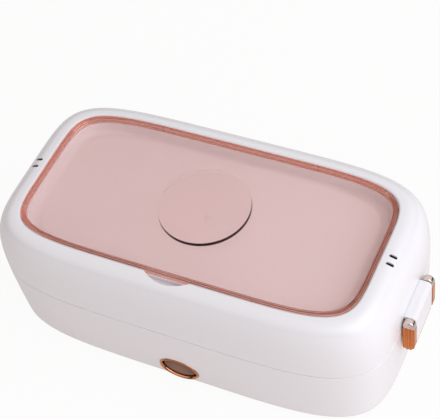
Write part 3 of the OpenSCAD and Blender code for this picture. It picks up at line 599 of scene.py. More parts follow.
def soft_rubber(name, dark, light, roughness):
    """Moulded elastomer: a dull skin with a fine bloom."""
    made, tree, shader, place = material(name, light, roughness=roughness, ior=1.43)
    bloom = add(tree, "ShaderNodeTexNoise", {"Vector": place, "Scale": per(2.4), "Detail": 4})
    vary(tree, shader, bloom, (dark, light))
    skin = add(tree, "ShaderNodeTexNoise", {"Vector": place, "Scale": per(0.7), "Detail": 2})
    vary(tree, shader, skin, depth=0.02)
    return made


def plain_metal(name, dark, light, roughness, grain):
    """Rolled or turned metal with a faint grain of a size in millimetres."""
    made, tree, shader, place = material(name, light, metallic=1.0, roughness=roughness)
    lines = add(tree, "ShaderNodeTexNoise", {"Vector": place, "Scale": per(grain), "Detail": 4})
    vary(tree, shader, lines, (dark, light), (roughness - 0.05, roughness + 0.08))
    return made


def circuit_board():
    """Green solder mask over glass cloth, with the weave just showing."""
    made, tree, shader, place = material("solder_mask", "#1F6B3C", roughness=0.35, ior=1.55)
    weave = add(tree, "ShaderNodeTexWave", {"Vector": place, "Scale": per(1.0) / 6}, bands_direction="X")
    vary(tree, shader, weave.outputs[1], ("#1A5E34", "#2A7D49"), depth=0.01)
    return made


WHITE_ABS = gloss_moulding("glossy_white_abs", "#F0EEF2", "#F3F2F5", 0.26)
LATCH_ABS = gloss_moulding("latch_white_abs", "#ECEAEE", "#F5F4F6", 0.24)
CREAM_PP = satin_moulding("cream_polypropylene", "#F6DCC9", "#FBE8DA", 0.38)
LINEN_PP = satin_moulding("natural_polypropylene", "#E9E5DE", "#F2EFEA", 0.34)
GREY_PP = satin_moulding("grey_polypropylene", "#CFCFD2", "#DADADC", 0.5)
BLACK_PBT = satin_moulding("black_pbt", "#141414", "#1E1E1F", 0.45)
BAKELITE = satin_moulding("phenolic_resin", "#472816", "#5A3520", 0.4)
LED_RESIN = gloss_moulding("diffused_epoxy", "#F1DCDC", "#FBECEC", 0.2)
ROSE_CLEAR = rose_polycarbonate()
RING_GOLD = polished_rose_gold("rose_gold_ring", "#C87F58", "#DC9C78", 0.16)
CLIP_HEAD = polished_rose_gold("rose_gold_head", "#CDB9B2", "#E0D0CA", 0.08)
CLIP_BODY = polished_rose_gold("copper_plated_cheek", "#D27637", "#E79458", 0.19)
TRAY_STEEL = brushed_stainless("drawn_stainless", (14.0, 14.0, 0.5), 0.17)
DIVIDER_STEEL = brushed_stainless("stainless_sheet", (14.0, 0.5, 14.0), 0.2)
COATED = coated_aluminium()
HEATER_CASE = plain_metal("extruded_aluminium", "#B4B6BA", "#D0D1D4", 0.4, 2.5)
SPRING_STEEL = plain_metal("zinc_plated_steel", "#9FA3A8", "#BCC0C5", 0.3, 1.8)
BRASS = plain_metal("turned_brass", "#B98F45", "#D8B366", 0.3, 1.5)
LENS = dark_lens()
FOOT_RUBBER = soft_rubber("grey_rubber", "#3C3C3E", "#4A4A4C", 0.75)
VALVE_RUBBER = soft_rubber("black_silicone", "#060606", "#0E0E0E", 0.75)
SILICONE = soft_rubber("white_silicone", "#DCDCDE", "#E8E8EA", 0.5)
JACKET = soft_rubber("red_pvc_jacket", "#8E1412", "#A81D18", 0.42)
BOARD = circuit_board()


# ---------- base ----------

def wall_inset(z):
    """Inset of the base's wall at a height."""
    return DRAFT * ((seam_z - z) / (seam_z - base_z - EDGE_R)) ** 1.6


def lug_pieces():
    """Lugs on both end walls that carry the latches' pins."""
    lug_r, half = 2.2, 1.8
    pieces, bores = [], []
    for side in (-1, 1):
        for y in (-10, 10):
            pieces.append(bar_y("lug", circle(lug_r, side * pin_x, pin_z), y - half, y + half))
            web = sorted((side * (half_len - 1.5), side * pin_x))
            pieces.append(block("web", (web[0], y - half, pin_z - 1.2), (web[1], y + half, pin_z + 2.0)))
        bores.append(bar_y("bore", circle(BORE_R, side * pin_x, pin_z), -14, 14))
    return pieces, bores


def base_shell():
    """Outer tub: rounded lower edge, leaning wall, thin lip and a floor with a large opening."""
    wall_z0 = base_z + EDGE_R
    edge = [body(x, z) for x, z in circle(EDGE_R, DRAFT + EDGE_R, wall_z0, 9, -90, -180)]
    levels = 12
    heights = [wall_z0 + (seam_z - wall_z0) * k / levels for k in range(1, levels)]
    wall = [body(wall_inset(z), z) for z in heights]
    seat_w = 6.0                                # width of the bottom cover's seat
    floor_seat = DRAFT + EDGE_R + 2.4
    floor_open = floor_seat + seat_w
    floor, seat = base_z + 3.4, base_z + 1.8
    lip, ledge = 1.8, seam_z - LIP_H
    inside = [body(0, seam_z, 0.4), body(lip, seam_z, 0.3), body(lip, ledge, 0.2),
              body(WALL + 2, ledge, 0.4), body(WALL + wall_inset(ledge - 12), ledge - 5, 1.2),
              body(WALL + DRAFT, wall_z0, 2.0), body(WALL + DRAFT + 2.4, floor, 1.0),
              body(floor_open, floor, 0.3), body(floor_open, seat, 0.2), body(floor_seat, seat, 0.2),
              body(floor_seat, base_z, 0.3)]
    piece = loft("base_shell", edge + wall + inside, WHITE_ABS, closed=True)
    lugs, bores = lug_pieces()
    gap = 0.15
    middle, size = (ring_low + ring_high) / 2, ring_high - ring_low
    oval = [(middle.x + (size.x / 2 + gap) * x, middle.z + (size.z / 2 + gap) * z)
            for x, z in circle(1, count=72)]
    hole = bar_y("hole", oval, -half_wid - 2, ring_high.y)
    socket_low, socket_high = corners_of("inlet_socket")
    recess = block("recess", socket_low - Vector((gap, 0, gap)), socket_high + Vector((gap, 4, gap)))
    joined(piece, lugs, "UNION")
    joined(piece, bores + [hole, recess])
    return fit(piece, WHITE_ABS, "white_plastic", "base", "base_shell")


def base_liner():
    """Inner trim: rim behind the lip, a broad slope, and the ledge that carries the tray."""
    rim, ledge, low = seam_z - 0.5, seam_z - LIP_H, seat_z - 1.8
    rings = [body(1.95, ledge, 0.2), body(1.95, rim, 0.5), body(5.6, rim, 0.8),
             (flange_a + 1.6, flange_b + 1.6, TRAY_SQUARE, seat_z + 0.5, 0.6),
             (flange_a + 1.1, flange_b + 1.1, TRAY_SQUARE, seat_z, 0.4),
             (well_a + 0.3, well_b + 0.3, WELL_SQUARE, seat_z, 0.8),
             (well_a - 0.3, well_b - 0.3, WELL_SQUARE, low, 0.2),
             (well_a + 4.6, well_b + 4.6, WELL_SQUARE, low, 0.5),
             body(6.8, ledge - 1.2, 0.5), body(4.6, ledge, 0.2)]
    piece = loft("base_liner", rings, CREAM_PP, closed=True)
    return fit(piece, CREAM_PP, "cream_plastic", "base", "base_liner")


def well_sleeve():
    """Deep wall of the heated well, flanged under the liner."""
    floor = plate_high.z
    sheet = 1.2

    def ring(grow, z, radius):
        """Profile ring on the sleeve's leaning wall, grown by a width."""
        lean = TRAY_DRAFT * (seat_z - z) / (seat_z - floor)
        return (well_a - lean + grow, well_b - lean + grow, WELL_SQUARE, z, radius)

    top = seat_z - 1.95
    rings = [ring(0, top, 1.0), ring(0, floor, 0.2), ring(sheet, floor, 0.2), ring(sheet, top - sheet, 0.8),
             ring(3.2, top - sheet, 0.3), ring(3.4, top, 0.3)]
    piece = loft("well_sleeve", rings, COATED, closed=True)
    return fit(piece, COATED, "coated_plate", "base", "well_sleeve")


def feet():
    """Four rubber feet with a rounded edge and a shallow dish in each sole."""
    radius, height = 6.0, feet_high.z
    rings = [disc(0, 0.35), disc(radius - 2.2, 0.35, 0.4), disc(radius - 1.6, 0.0, 0.3),
             disc(radius - 0.6, 0.0, 0.4), disc(radius, 0.5, 0.3), disc(radius, height, 0.1),
             disc(0, height)]
    piece = loft("feet", rings, FOOT_RUBBER, 10)
    run_tree(piece, CORNERS, {"Spacing X": (feet_high.x - radius) * 2 * MM,
                              "Spacing Y": (feet_high.y - radius) * 2 * MM, "Material": FOOT_RUBBER})
    return fit(outward(piece), FOOT_RUBBER, "rubber_foot", "base", "feet")


def bottom_screws():
    """Four pan-head screws with a cross recess, sunk into the bottom cover."""
    head, shank = 2.6, 1.3
    top = screws_high.z
    rings = [disc(0, base_z), disc(head, base_z, 0.4), disc(head, base_z + 1.1, 0.2),
             disc(shank, base_z + 1.1, 0.1), disc(shank, top - 0.6, 0.2),
             disc(shank * 0.6, top, 0.2), disc(0, top)]
    piece = loft("bottom_screws", rings, SPRING_STEEL, 8, steps=4)
    slots = [block("cross", (-1.4, -0.3, base_z - 1), (1.4, 0.3, base_z + 0.7)),
             block("cross", (-0.3, -1.4, base_z - 1), (0.3, 1.4, base_z + 0.7))]
    joined(piece, slots)
    run_tree(piece, CORNERS, {"Spacing X": (screws_high.x - head) * 2 * MM,
                              "Spacing Y": (screws_high.y - head) * 2 * MM, "Material": SPRING_STEEL})
    return fit(outward(piece), SPRING_STEEL, "spring_steel", "base", "bottom_screws")


# ---------- button ----------

def button_ring():
    """Oval trim ring with a crowned, polished face and a bevel down to the lens."""
    size = ring_high - ring_low
    a, b, depth = size.x / 2, size.z / 2, size.y
    width = 1.7
    rings = [(a, b, 2, 0, 0.2), (a, b, 2, depth - 0.5, 0.4), (a - 0.5, b - 0.5, 2, depth, 0.5),
             (a - width + 0.7, b - width + 0.7, 2, depth, 0.5), (a - width, b - width, 2, depth - 0.9, 0.4),
             (a - width, b - width, 2, 0, 0.2)]
    piece = loft("button_ring", rings, RING_GOLD, 32, closed=True)
    placed(piece, facing_front(ring_low, ring_high))
    return fit(piece, RING_GOLD, "rose_gold", "base", "button_ring")


def power_button():
    """Smoked lens of the button, slightly domed, with a stem behind it."""
    size = lens_high - lens_low
    a, b, depth = size.x / 2, size.z / 2, size.y
    stem, back = 2, 3.8
    rings = [disc(0, 0), disc(stem, 0, 0.2), disc(stem, back - 0.4, 0.2),
             (a - 0.6, b - 0.6, 2, back - 0.4, 0.3), (a, b, 2, back, 0.3),
             (a, b, 2, depth - 0.7, 0.5), (a * 0.8, b * 0.8, 2, depth - 0.12, 2.0), (0, 0, 2, depth, 0)]
    piece = loft("power_button", rings, LENS, 32)
    placed(piece, facing_front(lens_low, lens_high))
    return fit(piece, LENS, "dark_lens", "button", "power_button")


# ---------- tray ----------

def tray_in(z):
    """Inset of the tray's wall at a height."""
    return TRAY_DRAFT * (tray_high.z - z) / (tray_high.z - tray_low.z)


def tray_ring(inset, z, radius=0.0):
    """Profile ring of the tray's outline, drawn in by an inset."""
    return (tray_a - inset, tray_b - inset, TRAY_SQUARE, z, radius)


def steel_tray():
    """Drawn pan with a raised floor panel, a rolled rim and pairs of pressed ribs."""
    z0, top = tray_low.z, tray_high.z
    panel, rise, foot = 9.0, 1.0, 3.0
    roll_r = 1.0
    roll_z = top - roll_r
    out = roll_r - TRAY_FLANGE
    under = [(0, 0, TRAY_SQUARE, z0 + rise, 0), tray_ring(TRAY_DRAFT + panel, z0 + rise, 0.8),
             tray_ring(TRAY_DRAFT + panel - 1.2, z0, 0.8), tray_ring(TRAY_DRAFT, z0, foot + 0.6),
             tray_ring(tray_in(top - 2), top - 2, 1.0), tray_ring(-0.9, roll_z - 0.6, 0.3)]
    roll = [tray_ring(out - x, z) for x, z in circle(roll_r, 0, roll_z, 17, -130, 110)]
    inner = [tray_ring(-0.2, top - 0.12, 0.8), tray_ring(SHEET * 0.7, top - 1.3, 0.8),
             tray_ring(TRAY_DRAFT + SHEET, z0 + SHEET, foot + 0.4),
             tray_ring(TRAY_DRAFT + panel - 1.6, z0 + SHEET, 0.8),
             tray_ring(TRAY_DRAFT + panel - 0.4, z0 + rise + SHEET, 0.8),
             (0, 0, TRAY_SQUARE, z0 + rise + SHEET, 0)]
    piece = loft("steel_tray", under + roll + inner, TRAY_STEEL, steps=8)
    rib_x, pitch = 19.5, 5.0
    low, high = z0 + 9, top - 7
    lean = math.atan2(tray_in(low) - tray_in(high), high - low)
    length = (high - low) / math.cos(lean)

    def round_ended(radius):
        """Bar with round ends, drawn upwards."""
        ends = circle(radius, 0, 0, 7, -90, 0) + circle(radius, 0, length, 7, 0, 90)
        return loft("bar", [disc(x, z) for x, z in ends], TRAY_STEEL, 5)

    ribs, dents = [], []
    for x in (-rib_x, rib_x):
        for e in (-0.5, 0.5):
            for side in (-1, 1):
                for kind, radius, shift in ((ribs, 1.1, -SHEET + 0.4), (dents, 0.55, 0.05)):
                    turn = Matrix.Rotation(-side * lean, 4, "X")
                    where = at(x + e * pitch, side * (tray_b - tray_in(low) + shift), low)
                    kind.append(placed(round_ended(radius), where @ turn))
    joined(piece, dents)
    joined(piece, ribs, "UNION")
    return fit(piece, TRAY_STEEL, "stainless", "tray", "steel_tray")


def divider():
    """Loose plate between two pairs of ribs, with rounded feet and a hemmed top edge."""
    low, high = corners_of("divider")
    z0, z1 = low.z, high.z - 0.8
    gap = SHEET + 0.5
    half0, half1 = tray_b - tray_in(z0) - gap, tray_b - tray_in(z1) - gap
    outline = rounded([(-half0, z0, 5), (half0, z0, 5), (half1, z1, 0.5), (-half1, z1, 0.5)])
    across = Matrix(((0, 0, 1, 0), (1, 0, 0, 0), (0, 1, 0, 0), (0, 0, 0, 1)))
    middle = (low.x + high.x) / 2
    piece = prism("divider", outline, middle - SHEET / 2, middle + SHEET / 2, across)
    hem = bar_y("hem", circle(0.8, middle, z1, 24), -half1 + 1, half1 - 1)
    joined(piece, [hem], "UNION")
    return fit(piece, DIVIDER_STEEL, "stainless", "divider", "divider")


# ---------- lid ----------

def shoulder(angle, skin=0.0):
    """Ring of the lid's shoulder: the angle runs from 0 at the parting line to 90 at the window."""
    t = math.radians(angle)
    inward = 1 - math.cos(t) ** (2 / SHOULDER_FULL) if angle < 89.99 else 1.0
    up = math.sin(t) ** (2 / SHOULDER_FULL)
    a0, b0 = half_len - skin, half_wid - skin
    a1, b1 = cover_a + 1.2, cover_b + 1.2
    square = BODY_SQUARE + (COVER_SQUARE - BODY_SQUARE) * inward
    top = lid_high.z - skin
    return (a0 + (a1 - a0) * inward, b0 + (b1 - b0) * inward, square, lid_z + (top - lid_z) * up, 0)


def window(grow, z, radius=0.0):
    """Profile ring of the clear cover's outline, grown by a width."""
    return (cover_a + grow, cover_b + grow, COVER_SQUARE, z, radius)


STEAM_X, STEAM_Y = 107.2, 2.6
STEAM_AT = [(side * STEAM_X, y) for side in (-1, 1) for y in (-STEAM_Y, STEAM_Y)]


def steam_slot(x, y, gap, low, high):
    """Round-ended bar of a steam slot, drawn in by a gap."""
    half, wide = 2.2 - gap, 0.95 - gap
    outline = circle(wide, x + half - wide, y, 13, -90, 90) + circle(wide, x - half + wide, y, 13, 90, 270)
    return prism("slot", outline, low, high)


def lid_shell():
    """Domed lid: a full shoulder up to the window's edge, a finger scoop, catches and steam slots."""
    steps = 36
    foot = sill_z - 1.6
    under = [window(-0.8, sill_z, 0.2), window(-0.8, foot, 0.2), window(1.0, foot, 0.5)]
    inner = [shoulder(angle, WALL) for angle in range(70, 5, -8)]
    outer = [shoulder(90 * k / steps) for k in range(1, steps)]
    top = [shoulder(90)[:4] + (0.5,), window(0.4, total_z - 1.1, 0.5), window(0.4, sill_z, 0.2)]
    rings = under + inner + [body(WALL, lid_z, 0.3), body(0, lid_z, 0.4)] + outer + top
    piece = loft("lid_shell", rings, WHITE_ABS, closed=True)
    reach, half, height = 5.4, 14.4, 7.6
    radius = (half ** 2 + reach ** 2) / (2 * reach)
    edge_y = -cover_b - 0.4
    middle_y = edge_y - reach + radius

    def scoop(grow, low, high, back):
        """Finger notch between two heights, grown by a wall, reaching back into the window."""
        span = math.degrees(math.asin((half + grow) / (radius + grow)))
        arc = circle(radius + grow, 0, middle_y, 33, 270 - span, 270 + span)
        outline = [(-half - grow, edge_y + back), *arc, (half + grow, edge_y + back)]
        return prism("scoop", outline, low, high)

    notch = total_z - height
    skin, low = 1.5, notch - 1.8
    pocket = [scoop(skin, low, notch - 0.1, 0.8), scoop(skin, low, total_z - 3.3, -0.3)]
    catch_half, root = 10.7, 1
    catches = [block("catch", (x, -catch_half, seam_z + 2.9),
                     (x + root + CATCH_REACH, catch_half, seam_z + 4.5))
               for x in (half_len - root, -half_len - CATCH_REACH)]
    slots = [steam_slot(x, y, 0, total_z - 13, total_z + 1) for x, y in STEAM_AT]
    joined(piece, pocket + catches, "UNION")
    joined(piece, [scoop(0, notch, total_z + 2, 0.4)] + slots)
    return fit(piece, WHITE_ABS, "white_plastic", "lid", "lid_shell")


def storage_well():
    """Shallow tub under the clear cover, with a gate mark in the middle of its floor."""
    floor, base = total_z - 10.6, sill_z + 0.15
    well = -2.4
    rings = [(0, 0, COVER_SQUARE, floor - 2, 0), window(well + 0.6, floor - 2, 2.0),
             window(well + 1.4, base, 0.3), window(0.25, base, 0.2), window(0.25, ledge_z, 0.2),
             window(well, ledge_z, 0.5), window(well - 0.8, floor, 6.0), disc(1.8, floor, 0.3),
             disc(1.5, floor - 0.25, 0.2), disc(1.1, floor - 0.25, 0.2), disc(0.8, floor + 0.1, 0.3),
             disc(0, floor + 0.1)]
    piece = loft("storage_well", rings, WHITE_ABS, steps=12)
    return fit(piece, WHITE_ABS, "white_plastic", "lid", "storage_well")


def steam_valves():
    """Rubber valves pressed into the steam slots, each with a slit along its top."""
    valves_low, valves_high = corners_of("steam_valves")
    pieces = []
    top, fall = valves_high.z + 0.7, 0.36
    for x, y in STEAM_AT:
        valve = softened(steam_slot(x, y, 0.1, valves_low.z + 0.3, top), 0.2)
        joined(valve, [block("slit", (x - 1.4, y - 0.1, top - 0.5), (x + 1.4, y + 0.1, top + 1))])
        # follows the fall of the lid's face towards its end
        lean = Matrix.Identity(4)
        lean[2][0] = -fall if x > 0 else fall
        placed(valve, at(x, 0, 0) @ lean @ at(-x, 0, 0))
        pieces.append(valve)
    piece = joined(pieces[0], pieces[1:], "UNION")
    piece.name = "steam_valves"
    return fit(piece, VALVE_RUBBER, "valve_rubber", "lid", "steam_valves")


def lid_liner():
    """Inner lid: a flange behind the wall and a flat dome over the food, with a vent at each end."""
    low, high = corners_of("lid_liner")
    flange, top, sheet = low.z, high.z, 1.8
    a, b = tray_a - 0.6, tray_b - 0.6
    edge = 2.55

    def ring(inset, z, radius):
        """Profile ring of the dome's outline, drawn in by an inset."""
        return (a - inset, b - inset, TRAY_SQUARE, z, radius)

    rings = [(0, 0, TRAY_SQUARE, top - sheet, 0), ring(3, top - sheet, 5.0), ring(-0.2, flange, 0.8),
             body(edge, flange, 0.3), body(edge, flange + sheet, 0.3), ring(-2.2, flange + sheet, 0.8),
             ring(1.6, top, 5.0), (0, 0, TRAY_SQUARE, top, 0)]
    piece = loft("lid_liner", rings, LINEN_PP)
    vents = [prism("vent", circle(2.5, side * (a - 16), 0, 32), top - 5, top + 3) for side in (-1, 1)]
    joined(piece, vents)
    return fit(piece, LINEN_PP, "linen_plastic", "lid", "lid_liner")


def lid_gasket():
    """Silicone seal with a rounded lip that lies over the tray's rim."""
    low, high = corners_of("lid_gasket")
    width, root = 3.6, low.z + 1.0
    rings = [tray_ring(0, root, 0.5), tray_ring(-width / 2, low.z, 0.9), tray_ring(-width, root, 0.5),
             tray_ring(-width, high.z, 0.2), tray_ring(0, high.z, 0.2)]
    piece = loft("lid_gasket", rings, SILICONE, closed=True)
    return fit(piece, SILICONE, "silicone", "lid", "lid_gasket")


def cover():
    """Clear cover: a plate with a raised disc, on a deep narrow rim that drops into the window."""
    plate = total_z - 0.4
    under = plate - 2.0
    raised, top = 26.0, cover_high.z
    rim = total_z - RIM_H
    rings = [disc(0, top), disc(raised - 0.8, top), disc(raised - 0.2, top, 0.35),
             disc(raised, plate, 0.15), disc(raised + 0.5, plate), window(-RIM_W - 0.8, plate),
             window(-RIM_W - 0.25, plate, 0.35), window(-RIM_W + 0.25, total_z, 0.35),
             window(0, total_z, 0.8), window(0, rim, 0.4), window(-RIM_W, rim, 0.3),
             window(-RIM_W, under, 0.5), window(-RIM_W - 1, under), disc(0, under)]
    piece = loft("cover", rings, ROSE_CLEAR, steps=8)
    # gaps in the rim where its snaps are
    snap_x, snap_y, snap_w = 0.476 * cover_a, 0.365 * cover_b, 0.6
    marks = []
    for sx in (-1, 1):
        for sy in (-1, 1):
            for x, y, wx, wy in ((snap_x, cover_b + 0.4, snap_w, 2), (cover_a + 0.4, snap_y, 2, snap_w)):
                low = (sx * x - wx / 2, sy * y - wy / 2, rim - 1)
                marks.append(block("mark", low, (low[0] + wx, low[1] + wy, total_z - 1)))
    joined(piece, marks)
    return fit(piece, ROSE_CLEAR, "clear_rose", "cover", "cover")


# ---------- latches ----------

def turned(piece, side):
    """Latches are drawn for the right end; the left one is turned half round."""
    return piece if side > 0 else placed(piece, Matrix.Rotation(math.pi, 4, "Z"))


def latch_flap(side, word):
    """White latch between its cheeks: a panel, a nose over the catch and a knuckle on the pin."""
    half, knuckle = flap_high.y, 7.9
    in_x, out_x = half_len + 1.9, flap_high.x
    wall_x = half_len + 0.03
    lip_x = pin_x + 2.6
    nose_x, nose_z = flap_low.x, seam_z + 4.8
    free_z = pin_z + 3.2
    top = flap_high.z
    outline = rounded([
        (in_x, free_z, 0.4), (in_x, nose_z, 0.2), (nose_x, nose_z + 0.6, 0.2), (wall_x, nose_z + 1.2, 0.2),
        (wall_x - 0.1, top - 0.15, 0.15), (wall_x + 0.2, top, 0.15), (out_x - 1.6, top, 1.0),
        (out_x, top - 1.6, 1.4), (out_x, pin_z - 0.2, 0.5), (out_x - 0.3, pin_z - 1, 0.3),
        (lip_x, pin_z - 1, 0.2), (lip_x, free_z, 0.3)])
    piece = bar_y(f"latch_flap_panel_{word}", outline, -half, half)
    softened(piece, 0.35)
    rod = bar_y("knuckle", circle(2.6, pin_x, pin_z), -knuckle, knuckle)
    web = block("web", (pin_x - 1.8, -knuckle, pin_z), (pin_x + 2.8, knuckle, free_z + 1))
    joined(piece, [rod, web], "UNION")
    joined(piece, [bar_y("bore", circle(BORE_R, pin_x, pin_z), -10, 10)])
    return fit(turned(piece, side), LATCH_ABS, "white_plastic", f"latch_{word}", f"latch_flap_{word}")


def latch_cheek(end, name):
    """Plated cheek: a fluted body that narrows to the pin."""
    out_x, half = clip_high.x, clip_high.y
    y0 = half - CHEEK_T if end > 0 else -half
    top = head_z - 2.2
    outline = rounded([
        (pin_x - 3.1, pin_z - 1.4, 1.8), (cheek_x, pin_z + 3, 1.0), (cheek_x, top, 0.4), (out_x, top, 0.4),
        (out_x, pin_z + 0.5, 1.2), (pin_x + 2.5, pin_z - 2.2, 1.0), (pin_x + 0.6, pin_z - 3.1, 1.4),
        (pin_x - 2.0, pin_z - 3.0, 1.4)])
    cheek = bar_y(name, outline, y0, y0 + CHEEK_T)
    softened(cheek, 0.4)
    flute_r, first, pitch = 0.8, half_len + 1.9, 2.0
    flutes = [circle(flute_r, first + k * pitch, end * (half + 0.25), 24) for k in range(3)]
    flutes = [prism("flute", flute, pin_z - 4, top + 1) for flute in flutes]
    bore = sorted((end * (half - 1), end * (half - CHEEK_T - 1)))
    joined(cheek, flutes + [bar_y("bore", circle(BORE_R, pin_x, pin_z), bore[0], bore[1])])
    return cheek


def latch_head(end, name):
    """Polished head of a cheek, round along its top."""
    out_x, half = clip_high.x, clip_high.y
    y0 = half - CHEEK_T if end > 0 else -half
    low = head_z - 2.1
    arc = circle(HEAD_R, out_x - HEAD_R, head_z, 25, 0, 180)
    outline = [(out_x, low), *arc, (cheek_x, head_z - 0.4), (cheek_x, low)]
    head = bar_y(name, outline, y0, y0 + CHEEK_T)
    return softened(head, 0.9, 4, 25)


def latch_clips(side, word):
    """Both cheeks of one latch, each in two finishes, and the bar that joins them under the flap."""
    for end, mark in ((1, "a"), (-1, "b")):
        cheek = latch_cheek(end, f"latch_cheek_{word}_{mark}")
        head = latch_head(end, f"latch_head_{word}_{mark}")
        for piece, finish in ((cheek, CLIP_BODY), (head, CLIP_HEAD)):
            fit(turned(piece, side), finish, "rose_gold", f"latch_{word}", f"latch_clips_{word}")
    x, z = clip_high.x - 1.0, clip_low.z + 1.5
    reach = clip_high.y - CHEEK_T - 0.5
    bar = bar_y(f"latch_bar_{word}", circle(0.4, x, z, 16), -reach, reach)
    fit(turned(bar, side), CLIP_BODY, "rose_gold", f"latch_{word}", f"latch_clips_{word}")


# ---------- leads ----------

def leads():
    """Insulated leads from the inlet and the switch board to the heater."""
    socket_low, socket_high = corners_of("inlet_socket")
    heater_low, heater_high = corners_of("ptc_heater")
    board_low, board_high = corners_of("switch_board")
    inlet_z = (socket_low.z + socket_high.z) / 2
    low = corners_of("wires")[0].z + 0.9
    heat_z = (heater_low.z + heater_high.z) / 2
    back = socket_low.y - 2.9
    side = heater_high.y + 1.4
    quarter = heater_high.x / 2
    button_x = (ring_low.x + ring_high.x) / 2
    routes = [[(s * 4.3, back, inlet_z), (s * 6.3, back - 3, low + 2), (s * quarter, side + 4, low),
               (s * quarter, side, heat_z)] for s in (-1, 1)]
    routes.append([(button_x, board_high.y + 0.8, board_low.z + 2.6), (button_x, board_high.y + 3, low + 1),
                   (button_x, -side - 3, low), (button_x, -side, heat_z)])
    mesh = bpy.data.meshes.new("leads")
    points = [tuple(c * MM for c in p) for route in routes for p in route]
    edges = [(4 * r + i, 4 * r + i + 1) for r in range(len(routes)) for i in range(3)]
    mesh.from_pydata(points, edges, [])
    piece = linked("leads", mesh)
    run_tree(piece, TUBE, {"Radius": 0.85 * MM, "Bend": 2.0 * MM, "Material": JACKET})
    return fit(outward(piece), JACKET, "wire_jacket", "base", "wires")


# ---------- the object ----------

base_shell()
base_liner()
well_sleeve()
feet()
bottom_screws()
button_ring()
power_button()
steel_tray()
divider()
lid_shell()
storage_well()
steam_valves()
lid_liner()
lid_gasket()
cover()
for side, word in ((1, "right"), (-1, "left")):
    latch_flap(side, word)
    latch_clips(side, word)
leads()

for node, finish in (("bottom_cover", GREY_PP), ("heating_plate", COATED), ("ptc_heater", HEATER_CASE),
                     ("heater_clamp", SPRING_STEEL), ("clamp_nuts", BRASS), ("thermostat", BAKELITE),
                     ("thermal_fuse", HEATER_CASE), ("inlet_socket", BLACK_PBT), ("inlet_pins", BRASS),
                     ("switch_board", BOARD), ("tact_switch", BLACK_PBT), ("led", LED_RESIN),
                     ("latch_pin_right", SPRING_STEEL), ("latch_pin_left", SPRING_STEEL)):
    dress(node, finish)


# ---------- stage, light and camera ----------

def seen(tree):
    """1 for rays that look at the stage directly, in a mirror or through clear plastic."""
    ray = add(tree, "ShaderNodeLightPath").outputs
    known = {"camera": ray["Is Camera Ray"], "mirror": ray["Is Glossy Ray"],
             "clear": ray["Is Transmission Ray"], "depth": ray["Diffuse Depth"]}
    return work_out(tree, known, (
        ("seen", "MAXIMUM", "camera", "mirror"), ("seen", "MAXIMUM", "seen", "clear"),
        ("first", "LESS_THAN", "depth", 0.5), ("seen", "MULTIPLY", "seen", "first")))["seen"]


def stage():
    """Pale floor that keeps the object's shadow under a white surround."""
    made, tree, shader, place = material("pale_floor", "#F4E8E4", roughness=0.9)
    cloud = add(tree, "ShaderNodeTexNoise", {"Vector": place, "Scale": per(220), "Detail": 2})
    vary(tree, shader, cloud, ("#F2E5E1", "#F5EAE6"))
    mirror = add(tree, "ShaderNodeLightPath").outputs["Is Glossy Ray"]
    level = add(tree, "ShaderNodeMix", {0: mirror, 2: 1.0, 3: 0.7}, data_type="FLOAT")
    white = add(tree, "ShaderNodeEmission", {"Color": "#FFFFFF", "Strength": level})
    part = add(tree, "ShaderNodeMath", {0: seen(tree), 1: 0.93}, operation="MULTIPLY")
    mix = add(tree, "ShaderNodeMixShader", {0: part, 1: shader, 2: white})
    feed(tree, tree.nodes["Material Output"], {"Surface": mix})
    reach = 3000
    floor = block("floor", (-reach, -reach, -4), (reach, reach, -0.02))
    paint(floor, made)


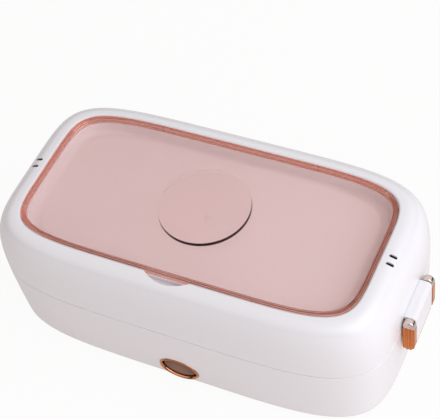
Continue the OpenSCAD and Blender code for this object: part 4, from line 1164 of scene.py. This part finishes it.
def world():
    """White where it is looked at; in mirrors, a white ceiling over darker walls."""
    made = bpy.data.worlds.new("studio")
    bpy.context.scene.world = made
    made.use_nodes = True
    tree = made.node_tree
    sky = tree.nodes["Background"]
    place = add(tree, "ShaderNodeTexCoord").outputs["Generated"]
    way = add(tree, "ShaderNodeSeparateXYZ", {0: place}).outputs
    across = add(tree, "ShaderNodeMapRange", {"Value": way[0], 1: -1.0, 2: 0.4, 3: 0.0, 4: 1.0})
    tone = add(tree, "ShaderNodeMix", {0: across, 6: "#E2D3CE", 7: "#FFFFFF"}, data_type="RGBA")
    feed(tree, sky, {"Color": tone, "Strength": 0.67})
    height = add(tree, "ShaderNodeMapRange", {"Value": way[2], 1: 0.3, 2: 0.5, 3: 0.04, 4: 1.0})
    mirror = add(tree, "ShaderNodeLightPath").outputs["Is Glossy Ray"]
    level = add(tree, "ShaderNodeMix", {0: mirror, 2: 1.0, 3: height}, data_type="FLOAT")
    white = add(tree, "ShaderNodeBackground", {"Color": "#FFFFFF", "Strength": level})
    mix = add(tree, "ShaderNodeMixShader", {0: seen(tree), 1: sky, 2: white})
    feed(tree, tree.nodes["World Output"], {"Surface": mix})


def lamp(name, place, target, size, power, colour):
    """Rectangular area lamp at a place, pointed at a target."""
    data = bpy.data.lights.new(name, "AREA")
    data.shape = "RECTANGLE"
    data.size, data.size_y = size[0] * MM, size[1] * MM
    data.energy = power
    data.color = linear(colour)[:3]
    thing = bpy.data.objects.new(name, data)
    bpy.context.scene.collection.objects.link(thing)
    thing.location = Vector(place) * MM
    thing.rotation_euler = (Vector(target) - Vector(place)).to_track_quat("-Z", "Y").to_euler()


def camera():
    """Three-quarter view from the front left, held a little askew."""
    azimuth, elevation, roll = math.radians(34.02), math.radians(52.3), math.radians(-11.99)
    distance, target = 723.76, Vector((0, 0, 45))
    focal, frame_width = 1266.84, 440
    shift_across, shift_up = 5.65, 42.71
    back = Vector((math.sin(azimuth) * math.cos(elevation), -math.cos(azimuth) * math.cos(elevation),
                   math.sin(elevation)))
    right = Vector((math.cos(azimuth), math.sin(azimuth), 0))
    up = back.cross(right)
    turned_right = right * math.cos(roll) + up * math.sin(roll)
    turned_up = up * math.cos(roll) - right * math.sin(roll)
    data = bpy.data.cameras.new("camera")
    data.sensor_width = 36.0
    data.lens = focal * data.sensor_width / frame_width
    data.shift_x, data.shift_y = shift_across / frame_width, shift_up / frame_width
    data.clip_start, data.clip_end = 0.01, 20
    thing = bpy.data.objects.new("camera", data)
    bpy.context.scene.collection.objects.link(thing)
    axes = Matrix((turned_right, turned_up, back)).transposed().to_4x4()
    thing.matrix_world = Matrix.Translation((target + back * distance) * MM) @ axes
    bpy.context.scene.camera = thing


stage()
world()
lamp("key", place=(700, -120, 620), target=(0, 0, 40), size=(1000, 1000), power=4.8, colour="#F4F8FF")
camera()

bpy.context.scene.view_settings.view_transform = "Standard"
